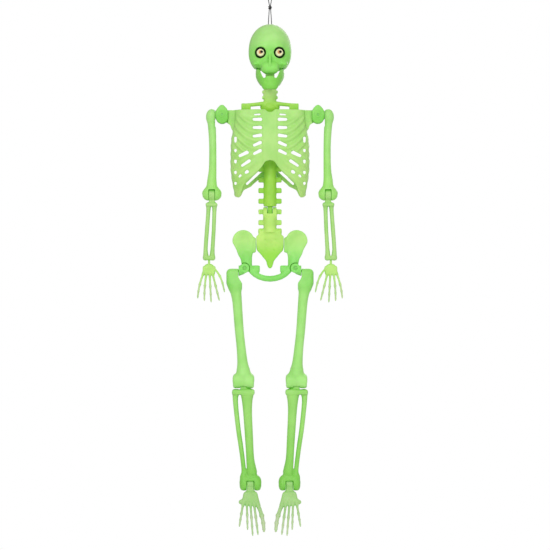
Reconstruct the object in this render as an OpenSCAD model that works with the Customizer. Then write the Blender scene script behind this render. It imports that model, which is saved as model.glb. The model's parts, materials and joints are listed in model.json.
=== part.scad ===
// Hanging posable skeleton figure in moulded plastic, front towards -Y and its left side on +X.
// The origin is the top of the hanging loop, so the figure hangs down along -Z.
// Heights named *_h are measured up from the toe tips, and from_toes() puts them in the frame.

/* [Overall] */
// Height from the toe tips to the top of the skull
figure_h = 900; // [880:1:920]
// Height of the hanging point above the skull
hang_rise = 75; // [65:1:100]

/* [Skull] */
// Width of the skull across the temples
skull_w = 74; // [72:1:78]
// Depth of the skull from brow to back
skull_d = 96; // [90:1:100]
// Wall thickness of the moulded shells
shell_t = 2.2; // [1.8:0.1:2.6]
// Spacing of the eye centres
eye_spacing = 33; // [32:0.5:36]
// Diameter of the dark ring round each eye
eye_ring_d = 19; // [18:0.5:20]

/* [Chest] */
// Width of the rib cage
chest_w = 141; // [138:1:144]
// Depth of the rib cage
chest_d = 64; // [60:1:68]
// Width of the sternum plate
sternum_w = 25; // [23:1:27]
// Spacing of the two shoulder pivots
shoulder_spacing = 170; // [168:1:174]

/* [Spine and pelvis] */
// Width of the vertebral column
spine_w = 23; // [22:0.5:25]
// Width across the side lugs of a vertebra
lug_w = 41.5; // [38:0.5:44]
// Width of the pelvis across its wings
pelvis_w = 135; // [132:1:138]

/* [Arms] */
// Diameter of the upper arm shaft
humerus_d = 13.6; // [12:0.2:15]
// Width of the elbow
elbow_w = 33.6; // [31:0.2:35]
// Width of the palm
palm_w = 24; // [22:0.5:26]

/* [Legs] */
// Diameter of the thigh shaft
femur_d = 16; // [14:0.2:17]
// Width of the knee
knee_w = 37; // [35:0.5:39]
// Width of the ankle
ankle_w = 38; // [36:0.5:40]
// Angle between the hanging foot and the vertical
foot_pitch = 30; // [20:1:40]

/* [Pins and fits] */
// Diameter of the pins of the arms and the jaw
arm_pin_d = 4; // [3.5:0.1:4.5]
// Diameter of the pins of the legs and the waist
leg_pin_d = 5; // [4.5:0.1:5.5]
// Radial clearance of a pin in its bore
pin_gap = 0.08; // [0.05:0.01:0.1]
// Side clearance of a tongue in its fork
side_gap = 0.4; // [0.3:0.05:0.5]

/* [Hidden] */
$fn = 48;

// Each side's sign: the figure's left is on +X.
LEFT = 1;
RIGHT = -1;

// Colours of the glow-green plastic, the dark pins and the eyes.
pale_green = [0.66, 0.88, 0.50];
mid_green = [0.55, 0.86, 0.40];
deep_green = [0.42, 0.78, 0.28];
pin_grey = [0.55, 0.62, 0.50];
eye_white = [0.93, 0.90, 0.68];
eye_dark = [0.05, 0.09, 0.03];
cord_black = [0.12, 0.12, 0.12];

// Pivot heights, each a share of the figure's height.
hook_h = figure_h + hang_rise;
jaw_h = figure_h * 0.931;
shoulder_h = figure_h * 0.822;
elbow_h = figure_h * 0.6645;
wrist_h = figure_h * 0.529;
waist_h = figure_h * 0.6278;
hip_h = figure_h * 0.52;
leg_h = hip_h - 5;
knee_h = figure_h * 0.297;
ankle_h = figure_h * 0.0945;

// Shoulder knuckle, seen from the front.
knuckle_w = 22;
knuckle_tall = 32;
knuckle_t = 18;

// Sideways places of the pivots and of the limb axes.
shoulder_x = shoulder_spacing / 2;
arm_x = shoulder_x + 16;
arm_head_x = shoulder_x + knuckle_w / 2 + 8.6;
arm_head_w = 14.6;
elbow_x = arm_x + 2;
wrist_x = elbow_x + 5;
hip_x = 45;
leg_x = 60;
hip_face_x = hip_x + 10.5;
knee_x = 47;
ankle_x = 34.6;

// Skull: two spheres hulled front to back, the face below them, all about the neck axis.
skull_r = skull_w / 2;
skull_top_h = figure_h;
skull_mid_h = skull_top_h - skull_r;
skull_reach = skull_d / 2 - skull_r;
face_bottom_h = skull_top_h - 81;
eye_h = skull_top_h - 51;
eye_y = -41;
neck_y = 8;
neck_post_r = 8;
jaw_y = 2;
chin_h = skull_top_h - 115;
skull_seam_y = -6;

// Chest
chest_top_h = figure_h * 0.8311;
armpit_h = chest_top_h - 25;
chest_tip_h = figure_h * 0.664;
sternum_end_h = chest_top_h - 87;
chest_t = 3.2;
ear_t = 6;
ear_r = 9;
hip_ear_r = 7;

// Rows of openings between the ribs.
slot_pitch = 14.4;
slot_slants = [0, 0, 8, 25, 27];
side_hole_pitch = 19.2;

// Vertebrae
lug_t = 9;
lug_pitch = 18.9;
spine_d = 20;
spine_y = neck_y;
waist_tongue_w = 9;
waist_r = 10;

// Limb joints: the fork's radius, the tongue's radius and where the next bone starts.
elbow_r = 12;
elbow_tongue_w = 10.8;
elbow_drop = 14;
knee_r = 13;
knee_tongue_w = 11;
knee_drop = 14.5;
ankle_r = 11;
ankle_tongue_w = 12.8;
ankle_drop = 12.5;
tongue_shrink = 2.5;

arm_bore_r = arm_pin_d / 2 + pin_gap;
leg_bore_r = leg_pin_d / 2 + pin_gap;
pin_recess = 1.5;

// ---- Helpers ----

// Puts a height above the toes in the frame whose origin is the hanging point.
module from_toes() {
    translate([0, 0, -hook_h]) children();
}

// Mirrors a left-hand shape to the right side.
module sided(side) {
    mirror([side == RIGHT ? 1 : 0, 0, 0]) children();
}

// A straight round bone from p to q, with its own radius at each end.
module rod(p, q, r1, r2) {
    d = q - p;
    long = norm(d);
    translate(p)
        rotate([0, acos(d.z / long), atan2(d.y, d.x)])
            cylinder(h = long, r1 = r1, r2 = r2);
}

// A chain of bones through the points, thinning from r1 to r2, with a thicker knuckle at each.
module bone_chain(points, r1, r2) {
    knuckle = 1.15;
    last = len(points) - 1;
    for (i = [0 : last]) {
        r = r1 + (r2 - r1) * i / last;
        translate(points[i]) sphere(r = r * knuckle);
        if (i < last)
            rod(points[i], points[i + 1], r, r1 + (r2 - r1) * (i + 1) / last);
    }
}

// A round bar along X, centred on the point.
module bar_x(p, r, long) {
    translate(p) rotate([0, 90, 0]) cylinder(h = long, r = r, center = true);
}

// A round bar along Y, centred on the point.
module bar_y(p, r, long) {
    translate(p) rotate([90, 0, 0]) cylinder(h = long, r = r, center = true);
}

// A plain block centred on the point.
module block(p, size) {
    translate(p) cube(size, center = true);
}

// ---- Skull ----

// Solid of revolution about Y: a round-ended bar along Y.
module round_bar_y(r, reach) {
    rotate([90, 0, 0]) rotate_extrude() intersection() {
        union() {
            for (y = [-reach, reach])
                translate([0, y]) circle(r = r);
            square([2 * r, 2 * reach], center = true);
        }
        translate([r, 0]) square([2 * r, 4 * r], center = true);
    }
}

// The outer form of the head, smaller by inset: cranium, cheeks and upper jaw.
module head_form(inset) {
    cheek_top_h = skull_mid_h - 19;
    upper_jaw_h = face_bottom_h - 8;
    translate([0, 0, skull_mid_h]) round_bar_y(skull_r - inset, skull_reach);
    translate([0, -4, cheek_top_h - 0.5])
        cylinder(h = skull_mid_h - cheek_top_h, r = skull_r - 0.5 - inset);
    translate([0, -4, face_bottom_h + inset])
        cylinder(h = cheek_top_h - face_bottom_h - inset,
            r1 = skull_r - 8.5 - inset, r2 = skull_r - 0.5 - inset);
    translate([0, -26, upper_jaw_h + inset])
        cylinder(h = skull_mid_h - 14 - upper_jaw_h - inset, r1 = 16 - inset, r2 = 20 - inset);
}

// The hollow skull with its neck socket, eye sockets, jaw pin holes and cord holes.
module skull_shell() {
    difference() {
        union() {
            difference() {
                head_form(0);
                head_form(shell_t);
            }
            // Socket that turns on the neck post, and the webs that hold the bosses of the jaw pins.
            translate([0, neck_y, face_bottom_h]) cylinder(h = 14, r = neck_post_r + 4);
            block([0, neck_y - 2, face_bottom_h + 6.5], [36, 12, 12.6]);
            for (side = [LEFT, RIGHT]) {
                bar_x([side * 23, jaw_y, jaw_h], 5, 20);
                block([side * 15.4, jaw_y + 2, jaw_h - 6], [5, 8, 16]);
            }
        }
        translate([0, neck_y, face_bottom_h - 20]) cylinder(h = 60, r = neck_post_r + pin_gap);
        bar_x([0, jaw_y, jaw_h], arm_bore_r, 58);
        for (side = [LEFT, RIGHT])
            bar_y([side * eye_spacing / 2, eye_y - 4, eye_h], eye_ring_d / 2 + 0.3, 26);
        for (side = [LEFT, RIGHT])
            translate([side * cord_gap / 2, 0, skull_top_h - 20]) cylinder(h = 30, r = cord_r + 0.6);
        // Room for the mandible's upright arms.
        for (side = [LEFT, RIGHT])
            block([side * 21.5, -8, face_bottom_h], [6.5, 46, 60]);
    }
}

module skull_front() {
    color(pale_green) from_toes() intersection() {
        skull_shell();
        block([0, skull_seam_y - 75.05, skull_mid_h], [200, 150, 300]);
    }
}

module skull_back() {
    color(pale_green) from_toes() intersection() {
        skull_shell();
        block([0, skull_seam_y + 75.05, skull_mid_h], [200, 150, 300]);
    }
}

// A domed eye that sits inside its ring.
module eye(side) {
    color(eye_white) from_toes()
        translate([side * eye_spacing / 2, eye_y + 4, eye_h]) intersection() {
            sphere(r = eye_ring_d / 2 - 2);
            block([0, -6, 0], [30, 12, 30]);
        }
}

// The dark ring and cup behind the eye.
module eye_rim(side) {
    color(eye_dark) from_toes()
        translate([side * eye_spacing / 2, eye_y, eye_h]) rotate([90, 0, 0]) difference() {
            translate([0, 0, -8]) cylinder(h = 8.5, r = eye_ring_d / 2);
            translate([0, 0, -4.2]) cylinder(h = 10, r = eye_ring_d / 2 - 1.9);
        }
}

// The two pins that the mandible hangs from.
module jaw_pins() {
    color(pin_grey) from_toes() for (side = [LEFT, RIGHT])
        bar_x([side * 20.5, jaw_y, jaw_h], arm_pin_d / 2, 15);
}

// The washer that keeps the head on the neck post.
module neck_washer() {
    color(pin_grey) from_toes() translate([0, neck_y, face_bottom_h + 14.4]) difference() {
        cylinder(h = 3, r = neck_post_r + 4);
        translate([0, 0, -1]) cylinder(h = 5, r = neck_post_r - 3 + pin_gap);
    }
}

// Two strands from the skull to a knot, and the loop above it.
cord_r = 0.9;
cord_gap = 6;
knot_h = skull_top_h + 32;
knot_r = 3;
loop_w = 10;
module hanging_cord() {
    bulge = 1.15;
    loop_top_h = hook_h - cord_r * bulge;
    loop_mid_h = (loop_top_h + knot_h) / 2;
    loop_points = [for (a = [-90 : 36 : 270])
        [loop_w / 2 * cos(a), 0, loop_mid_h + (loop_top_h - loop_mid_h) * sin(a)]];
    color(cord_black) from_toes() {
        for (side = [LEFT, RIGHT]) {
            rod([side * cord_gap / 2, 0, skull_top_h - 8], [side, 0, knot_h], cord_r, cord_r);
            translate([side * cord_gap / 2, 0, skull_top_h - 8]) sphere(r = cord_r * 2.5);
        }
        translate([0, 0, knot_h]) sphere(r = knot_r);
        for (i = [0 : len(loop_points) - 2]) {
            rod(loop_points[i], loop_points[i + 1], cord_r, cord_r);
            translate(loop_points[i]) sphere(r = cord_r * bulge);
        }
    }
}

// The lower jaw: a chin bow, and an upright arm each side that ends at its pin.
module mandible() {
    gonion_h = chin_h + 22;
    arm_in = 21.5;
    color(mid_green) from_toes() difference() {
        union() {
            for (side = [LEFT, RIGHT]) {
                hull() {
                    bar_x([side * arm_in, jaw_y, jaw_h], 6, 5);
                    bar_x([side * arm_in, -6, gonion_h], 7, 5);
                }
                hull() {
                    translate([side * arm_in, -8, gonion_h]) sphere(r = 5, $fn = 32);
                    translate([side * 9, -38, chin_h + 9]) sphere(r = 7, $fn = 32);
                }
            }
            hull() for (side = [LEFT, RIGHT], z = [7, 14])
                translate([side * 8, -38, chin_h + z]) sphere(r = 7, $fn = 32);
        }
        bar_x([0, jaw_y, jaw_h], arm_bore_r, 58);
    }
}

// ---- Chest and spine ----

// One vertebra: its body, side lugs and the spine at its back.
module vertebra(z, wide, lugs) {
    translate([0, spine_y, z - lug_pitch / 2]) cylinder(h = lug_pitch, r = wide / 2);
    block([0, spine_y, z], [lugs, spine_d * 0.4, lug_t]);
    block([0, spine_y + spine_d * 0.7, z], [4, spine_d * 0.5, lug_t]);
}

// Neck and chest column with the collar yoke, the neck post above and the waist tongue below.
module upper_spine() {
    neck_low_h = chest_top_h - 2;
    neck_high_h = face_bottom_h - 0.6;
    neck_slim_h = face_bottom_h - 20;
    first_h = waist_h + lug_pitch + 3;
    neck_lugs = 27;
    color(mid_green) from_toes() difference() {
        union() {
            for (z = [first_h : lug_pitch : neck_low_h - lug_pitch / 2])
                vertebra(z, spine_w, lug_w);
            translate([0, spine_y, first_h - lug_pitch / 2])
                cylinder(h = neck_slim_h - first_h + lug_pitch / 2, r = spine_w / 2);
            translate([0, neck_y, neck_high_h - 3]) cylinder(h = 3, r = neck_post_r + 2);
            for (z = [neck_low_h + 25, neck_low_h + 35])
                block([0, spine_y, z], [neck_lugs + 1, spine_d * 0.4, 5]);
            translate([0, neck_y, neck_slim_h - 1])
                cylinder(h = face_bottom_h + 15.2 - neck_slim_h, r = neck_post_r);
            translate([0, neck_y, neck_high_h + 14]) cylinder(h = 5.5, r = neck_post_r - 3);
            // Collar yoke: a bar out to a squared end on each side.
            bar_x([0, 0, chest_top_h + 9.5], 3.6, 98);
            translate([0, spine_y, chest_top_h + 3]) cylinder(h = 10, r1 = spine_w / 2, r2 = 16);
            for (side = [LEFT, RIGHT])
                block([side * 42.5, 0, chest_top_h + 6.2], [17, 9, 12]);
            // Tongue of the waist hinge.
            block([0, spine_y, (waist_h + first_h - lug_pitch / 2) / 2],
                [waist_tongue_w, spine_d * 0.6, first_h - lug_pitch / 2 - waist_h + 2]);
            bar_x([0, spine_y, waist_h], waist_r - 2, waist_tongue_w);
        }
        bar_x([0, spine_y, waist_h], leg_bore_r, 60);
    }
}

// Plan outline of the rib cage: two round sides joined by flat front and back.
module chest_plan(inset, wide) {
    r = chest_d / 2;
    for (side = [LEFT, RIGHT])
        translate([side * (wide / 2 - r), 0]) circle(r = r - inset);
    square([wide - 2 * r, chest_d - 2 * inset], center = true);
}

// The thin wall of the rib cage, narrower above the armpits.
module chest_wall() {
    narrow = chest_w - 16;
    difference() {
        union() {
            translate([0, 0, chest_tip_h])
                linear_extrude(armpit_h - chest_tip_h) chest_plan(0, chest_w);
            translate([0, 0, armpit_h])
                linear_extrude(chest_top_h - armpit_h) chest_plan(0, narrow);
        }
        translate([0, 0, chest_tip_h - 1])
            linear_extrude(armpit_h - chest_tip_h - 3) chest_plan(chest_t, chest_w);
        translate([0, 0, chest_tip_h - 1])
            linear_extrude(chest_top_h - chest_tip_h + 2) chest_plan(chest_t, narrow);
    }
}

// Half of the cage's front outline, from the middle of its top to its lower margin.
function cage_outline(margin) = concat([
    [0, chest_top_h + 1],
    [chest_w / 2 - 8, chest_top_h + 1],
    [chest_w / 2 - 4, armpit_h - 14],
    [chest_w / 2, armpit_h - 30],
    [chest_w / 2 + 1, chest_tip_h + 45],
    [chest_w / 2 - 3, chest_tip_h + 22],
    [chest_w / 2 - 10, chest_tip_h],
    [chest_w / 2 - 16, chest_tip_h]
], margin);

// A slanted round-ended opening in the outline plane.
module slot_2d(p, long, wide, slant) {
    translate(p) rotate(slant) {
        square([long - wide, wide], center = true);
        for (x = [-1, 1])
            translate([x * (long - wide) / 2, 0]) circle(d = wide);
    }
}

// The openings of one side between the ribs.
module rib_openings() {
    slot_x = sternum_w / 2 + 10;
    first_h = chest_top_h - 19;
    for (i = [0 : len(slot_slants) - 1])
        slot_2d([slot_x, first_h - i * slot_pitch], 16, 4.6, -slot_slants[i]);
    slot_2d([slot_x, first_h + 8.4], 12, 1.8, 0);
    side_x = chest_w / 2 - 8.5;
    for (i = [0 : 4])
        slot_2d([side_x, chest_top_h - 55 - i * side_hole_pitch], i == 0 ? 12 : 7, 5, 90);
    slot_2d([46.5, first_h - 61], 19, 5, -25);
    slot_2d([42.5, first_h - 77], 19, 4, -34);
    slot_2d([41, first_h - 92.5], 7, 5, -34);
    slot_2d([52.7, first_h - 99.5], 5, 3, -45);
}

// Extrudes a front outline of both sides through the whole depth.
module through_depth() {
    for (side = [LEFT, RIGHT])
        sided(side) rotate([90, 0, 0]) linear_extrude(200, center = true) children();
}

// The flat plate of each side that carries the ear of the shoulder, larger by gap.
module shoulder_plates(gap) {
    for (side = [LEFT, RIGHT]) {
        sided(side) rotate([90, 0, 0])
            linear_extrude(ear_t + 2 * gap, center = true) polygon([
                [chest_w / 2 - 15, chest_top_h + gap],
                [shoulder_x - ear_r, chest_top_h + gap],
                [shoulder_x - 5, armpit_h + 1],
                [chest_w / 2, armpit_h - 8],
                [chest_w / 2 - 3, armpit_h - 17],
                [chest_w / 2 - 15, armpit_h - 25]
            ]);
        bar_y([side * shoulder_x, 0, shoulder_h], ear_r, ear_t + 2 * gap);
    }
}

// Front of the cage: sternum plate, costal arch and the openings beside them.
module rib_cage_front() {
    arch = [
        [chest_w / 2 - 21, chest_tip_h + 10],
        [41, chest_tip_h + 21],
        [12, chest_tip_h + 50],
        [0, sternum_end_h]
    ];
    color(pale_green) from_toes() difference() {
        intersection() {
            chest_wall();
            through_depth() polygon(cage_outline(arch));
            block([0, -50.05, chest_top_h], [300, 100, 400]);
        }
        shoulder_plates(0.1);
        through_depth() rib_openings();
        translate([0, -chest_d / 2, chest_top_h + 4]) rotate([90, 0, 0])
            cylinder(h = 20, r = 8, center = true);
    }
}

// The flat triangle of a shoulder blade, against the back of the cage.
module shoulder_blade() {
    translate([0, chest_d / 2 + 1, 0]) rotate([90, 0, 0]) linear_extrude(4) polygon([
        [33, chest_top_h - 7], [52, chest_top_h - 4], [54, chest_top_h - 16],
        [41, chest_top_h - 72], [37, chest_top_h - 72], [32, chest_top_h - 40]
    ]);
}

// Back of the cage with the shoulder blades and the ear that each shoulder knuckle pivots on.
module rib_cage_back() {
    arch = [
        [chest_w / 2 - 21, chest_tip_h + 8],
        [42, chest_tip_h + 12.5],
        [31, chest_tip_h + 19],
        [19, chest_tip_h + 30],
        [0, chest_tip_h + 36]
    ];
    color(pale_green) from_toes() difference() {
        union() {
            difference() {
                intersection() {
                    chest_wall();
                    through_depth() polygon(cage_outline(arch));
                    block([0, 50.05, chest_top_h], [300, 100, 400]);
                }
                through_depth() rib_openings();
                through_depth() slot_2d([26, chest_tip_h + 36], 42, 6, -44);
            }
            for (side = [LEFT, RIGHT])
                sided(side) shoulder_blade();
            shoulder_plates(0);
            // Blocks that hold the column.
            for (z = [chest_top_h - 30, chest_top_h - 75])
                block([0, chest_d / 2 - 5, z], [lug_w * 0.5, 9, 10]);
        }
        for (side = [LEFT, RIGHT])
            bar_y([side * shoulder_x, 0, shoulder_h], arm_bore_r, 60);
        // The column passes through here.
        translate([0, spine_y, chest_tip_h]) cylinder(h = 200, r = spine_w / 2 + 0.1);
        block([0, spine_y + spine_d * 0.7, chest_top_h - 60], [4.2, spine_d * 0.5 + 0.2, 260]);
        block([0, spine_y, chest_top_h - 60], [lug_w + 0.2, spine_d * 0.4 + 0.2, 260]);
    }
}

// Half of the sacrum's outline below the waist, from its top to its tip.
function sacrum_side() = [
    [19.5, waist_h - 31], [20, waist_h - 38], [24.5, waist_h - 40], [24.5, waist_h - 65],
    [17.8, waist_h - 71], [12.9, waist_h - 77], [7.1, waist_h - 84.5], [2, waist_h - 98]
];

// Loins and sacrum in one moulding, with the fork of the waist hinge on top.
module lumbar_spine() {
    side = sacrum_side();
    last = len(side) - 1;
    color(pale_green) from_toes() {
        difference() {
            union() {
                bar_x([0, spine_y, waist_h], waist_r - 1, spine_w);
                translate([0, spine_y, waist_h - 38]) cylinder(h = 34, r = spine_w / 2);
                block([0, spine_y, waist_h + 3], [lug_w, spine_d * 0.4, lug_t]);
            }
            block([0, spine_y, waist_h + 3],
                [waist_tongue_w + 2 * side_gap, 60, 2 * waist_r + 6.4]);
            bar_x([0, spine_y, waist_h], leg_bore_r, 60);
        }
        for (z = [waist_h - 16, waist_h - 31])
            block([0, spine_y, z], [lug_w, spine_d * 0.4, lug_t]);
        translate([0, spine_y + spine_d * 0.35, 0]) rotate([90, 0, 0])
            linear_extrude(spine_d * 0.7)
                polygon(concat(side, [for (i = [last : -1 : 0]) [-side[i].x, side[i].y]]));
    }
}

// Pelvis: a wing each side, a strut down to the hip, and the pubic arch that joins them.
module pelvis() {
    wing_h = hip_h + 51;
    wing_r = 20.5;
    arch_r = 31;
    arch_h = hip_h + 12.3;
    bar_r = 5.3;
    color(mid_green) from_toes() difference() {
        union() {
            for (side = [LEFT, RIGHT]) {
                sided(side) rotate([90, 0, 0]) linear_extrude(9, center = true) {
                    translate([pelvis_w / 2 - wing_r, wing_h - 2]) circle(r = wing_r);
                    polygon([[28, wing_h - 9], [pelvis_w / 2 - 3, wing_h - 13],
                        [52, hip_h + 18], [35, hip_h + 18]]);
                }
                rod([side * 43, 0, hip_h + 30], [side * 42, 0, hip_h + 2], 8, 8);
                block([side * 29, spine_y, wing_h - 10], [11, 10, 26]);
                translate([side * 42, 0, hip_h + 2]) sphere(r = 8.6);
                bar_y([side * hip_x, 0, hip_h], hip_ear_r, ear_t);
                block([side * 20, 0, hip_h - 3], [10, 9, 13]);
            }
            translate([0, 0, arch_h]) rotate([-90, 0, 0]) rotate_extrude(angle = 180)
                translate([arch_r, 0]) circle(r = bar_r);
        }
        // Clearance for the hip links either side of the ear.
        for (side = [LEFT, RIGHT], y = [-1, 1])
            bar_y([side * hip_x, y * (ear_t / 2 + side_gap + 10), hip_h], 10, 20);
        for (side = [LEFT, RIGHT])
            bar_y([side * hip_x, 0, hip_h], leg_bore_r, 60);
        // Room for the sacrum.
        block([0, spine_y, waist_h - 50], [49.4, spine_d * 0.7 + 0.4, 70]);
    }
}

// Hinge pin of the waist.
module waist_pin() {
    color(pin_grey) from_toes() bar_x([0, spine_y, waist_h], leg_pin_d / 2, spine_w - 2);
}

// ---- Arms ----

// Knuckle of the shoulder: two cheeks round the ear of the cage, a web, and the peg of the arm.
module shoulder_knuckle(side) {
    web_x = shoulder_x + knuckle_w / 2 - 1;
    color(deep_green) from_toes() sided(side) difference() {
        union() {
            for (z = [-1, 1])
                bar_y([shoulder_x, 0, shoulder_h + z * (knuckle_tall - knuckle_w) / 2],
                    knuckle_w / 2, knuckle_t);
            block([shoulder_x, 0, shoulder_h],
                [knuckle_w, knuckle_t, knuckle_tall - knuckle_w]);
            bar_x([web_x - 1, 0, shoulder_h], 8, 6);
        }
        // Slot for the ear, open towards the chest and above for the raised arm.
        bar_y([shoulder_x, 0, shoulder_h], ear_r + 0.6, ear_t + 2 * side_gap);
        block([shoulder_x - 10, 0, shoulder_h], [20, ear_t + 2 * side_gap, 40]);
        block([shoulder_x - 1, 0, shoulder_h + 10], [19.2, ear_t + 2 * side_gap, 20]);
        bar_y([shoulder_x, 0, shoulder_h], arm_bore_r, 60);
        bar_x([web_x, 0, shoulder_h], arm_bore_r, 9);
    }
}

// Pin of the shoulder, front to back.
module shoulder_pin(side) {
    color(pin_grey) from_toes() sided(side)
        bar_y([shoulder_x, 0, shoulder_h], arm_pin_d / 2, knuckle_t - pin_recess);
}

// Headed pin that the arm swings on.
module arm_pin(side) {
    inner_x = shoulder_x + knuckle_w / 2 - 1.2;
    outer_x = arm_head_x + arm_head_w / 2 - pin_recess;
    color(pin_grey) from_toes() sided(side)
        bar_x([(inner_x + outer_x) / 2, 0, shoulder_h], arm_pin_d / 2, outer_x - inner_x);
}

// Upper arm: head, shaft and the fork of the elbow.
module humerus(side) {
    shaft_r = humerus_d / 2;
    head_r = 9;
    neck_h = shoulder_h - 26;
    color(mid_green) from_toes() sided(side) difference() {
        union() {
            bar_x([arm_head_x, 0, shoulder_h], head_r, arm_head_w);
            rod([arm_head_x + 1, 0, shoulder_h], [arm_x, 0, neck_h], shaft_r, shaft_r);
            translate([arm_x, 0, neck_h]) sphere(r = shaft_r * 1.04);
            rod([arm_x, 0, neck_h], [elbow_x, 0, elbow_h + elbow_r - 1], shaft_r, shaft_r);
            difference() {
                bar_x([elbow_x, 0, elbow_h], elbow_r, elbow_w);
                block([elbow_x, 0, elbow_h - 1],
                    [elbow_tongue_w + 2 * side_gap, 60, 2 * elbow_r]);
            }
            block([elbow_x, 0, elbow_h + elbow_r], [elbow_w * 0.7, humerus_d, 5]);
        }
        bar_x([elbow_x, 0, elbow_h], arm_bore_r, elbow_w + 2);
        bar_x([arm_x, 0, shoulder_h], arm_bore_r, 60);
    }
}

// Pin of the elbow.
module elbow_pin(side) {
    color(pin_grey) from_toes() sided(side)
        bar_x([elbow_x, 0, elbow_h], arm_pin_d / 2, elbow_w - 2 * pin_recess);
}

// Forearm: tongue, then two slim bones side by side that meet again at the wrist.
module forearm(side) {
    top_h = elbow_h - elbow_drop;
    end_h = wrist_h + 6;
    split = 4.6;
    color(mid_green) from_toes() sided(side) difference() {
        union() {
            bar_x([elbow_x, 0, elbow_h], elbow_r - tongue_shrink, elbow_tongue_w);
            block([elbow_x, 0, (elbow_h + top_h) / 2],
                [elbow_tongue_w, 12, elbow_h - top_h + 2]);
            block([elbow_x + 0.6, 0, top_h - 3], [20, 13, 6]);
            for (x = [-split, split])
                rod([elbow_x + 0.5 + x, 0, top_h - 4], [wrist_x + x, 0, end_h + 6], 3.7, 3.4);
            block([wrist_x, 0, end_h + 5], [21, 11, 10]);
        }
        bar_x([elbow_x, 0, elbow_h], arm_bore_r, 40);
        translate([wrist_x, 0, end_h - 1]) cylinder(h = 9, r = arm_bore_r);
    }
}

// A finger from its root at the palm through its joints.
module digit(points, r) {
    bone_chain(points, r, r * 0.72);
}

// Hand: wrist peg, palm and five fingers, the thumb towards the body.
module hand(side) {
    palm_h = wrist_h - 12;
    tip_h = wrist_h - 67;
    palm_low = palm_h - 7.5;
    finger_r = 2.3;
    roots = [-8, -1.5, 4.5, 10];
    tips = [-16.5, -2.5, 9, 22];
    reach = [1.5, 0, 2, 8];
    color(mid_green) from_toes() sided(side) translate([wrist_x, 0, 0]) {
        translate([0, 0, palm_h + 4]) cylinder(h = wrist_h + 12 - palm_h - 4, r = arm_pin_d / 2);
        translate([0, 0, palm_h + 6]) cylinder(h = 5.5, r = 2.9);
        block([0, 0, palm_h], [palm_w, 8, 17]);
        for (i = [0 : 3])
            digit([
                [roots[i], 0, palm_low],
                [(roots[i] + tips[i]) / 2, -1.5, (palm_low + tip_h) / 2 + reach[i]],
                [tips[i], 1, tip_h + reach[i]]
            ], finger_r);
        digit([[-palm_w / 2 + 2, 0, palm_h], [-20, -2, palm_h - 14], [-27, -1, palm_h - 38]],
            finger_r);
    }
}

// ---- Legs ----

// Hip link: cheeks round the ear of the pelvis and the boss that the thigh swings on.
module hip_link(side) {
    slot_t = ear_t + 2 * side_gap;
    color(mid_green) from_toes() sided(side) difference() {
        union() {
            bar_y([hip_x, 0, hip_h], 8.5, 17.4);
            bar_x([(hip_x + 3 + hip_face_x) / 2, 0, leg_h], 8.3, hip_face_x - hip_x - 3);
        }
        bar_y([hip_x, 0, hip_h], hip_ear_r + 0.6, slot_t);
        block([hip_x - 10, 0, hip_h], [20, slot_t, 40]);
        block([hip_x + 2, 0, hip_h + 12], [14, slot_t, 20]);
        bar_y([hip_x, 0, hip_h], leg_bore_r, 60);
        bar_x([hip_x + 22, 0, leg_h], leg_bore_r, 28);
    }
}

// Pin of the hip, front to back.
module hip_pin(side) {
    color(pin_grey) from_toes() sided(side)
        bar_y([hip_x, 0, hip_h], leg_pin_d / 2, 15);
}

// Pin that the leg swings on.
module leg_pin(side) {
    color(pin_grey) from_toes() sided(side)
        bar_x([hip_x + 19.5, 0, leg_h], leg_pin_d / 2, 20);
}

// Thigh: the block at the hip, the shaft and the fork of the knee.
module femur(side) {
    shaft_r = femur_d / 2;
    block_x0 = hip_face_x + 0.5;
    block_x1 = hip_x + 32;
    color(mid_green) from_toes() sided(side) difference() {
        union() {
            bar_x([(block_x0 + block_x1) / 2, 0, leg_h], 10, block_x1 - block_x0);
            block([(block_x0 + block_x1) / 2, 0, leg_h - 14], [block_x1 - block_x0, 20, 28]);
            block([(block_x0 + block_x1) / 2 - 4, 0, leg_h - 20], [block_x1 - block_x0, 17, 14]);
            rod([leg_x + 1, 0, leg_h - 22], [knee_x, 0, knee_h + knee_r - 1], shaft_r, shaft_r);
            difference() {
                bar_x([knee_x, 0, knee_h], knee_r, knee_w);
                block([knee_x, 0, knee_h - 1],
                    [knee_tongue_w + 2 * side_gap, 60, 2 * knee_r]);
            }
            block([knee_x, 0, knee_h + knee_r], [knee_w * 0.7, femur_d, 5]);
        }
        bar_x([knee_x, 0, knee_h], leg_bore_r, knee_w + 2);
        bar_x([leg_x, 0, leg_h], leg_bore_r, 60);
    }
}

// Pin of the knee.
module knee_pin(side) {
    color(pin_grey) from_toes() sided(side)
        bar_x([knee_x, 0, knee_h], leg_pin_d / 2, knee_w - 2 * pin_recess);
}

// Shin: tongue, plate of the knee, shin bone and calf bone, and the fork of the ankle.
module shin(side) {
    top_h = knee_h - knee_drop;
    low_h = ankle_h + ankle_r;
    color(mid_green) from_toes() sided(side) difference() {
        union() {
            bar_x([knee_x, 0, knee_h], knee_r - tongue_shrink, knee_tongue_w);
            block([knee_x, 0, (knee_h + top_h) / 2], [knee_tongue_w, 14, knee_h - top_h + 2]);
            block([knee_x, 0, top_h - 9], [knee_w, 17, 18]);
            rod([knee_x - 5, 0, top_h - 8], [ankle_x + 2, 0, low_h + 4], 8, 7.4);
            rod([knee_x + 13, 0, top_h - 8], [ankle_x + 12, 0, low_h + 4], 4.4, 4.6);
            difference() {
                bar_x([ankle_x, 0, ankle_h], ankle_r, ankle_w);
                block([ankle_x, 0, ankle_h - 1],
                    [ankle_tongue_w + 2 * side_gap, 60, 2 * ankle_r]);
            }
            block([ankle_x, 0, low_h + 3], [ankle_w * 0.85, 15, 10]);
        }
        bar_x([ankle_x, 0, ankle_h], leg_bore_r, ankle_w + 2);
        bar_x([knee_x, 0, knee_h], leg_bore_r, 40);
    }
}

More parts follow.
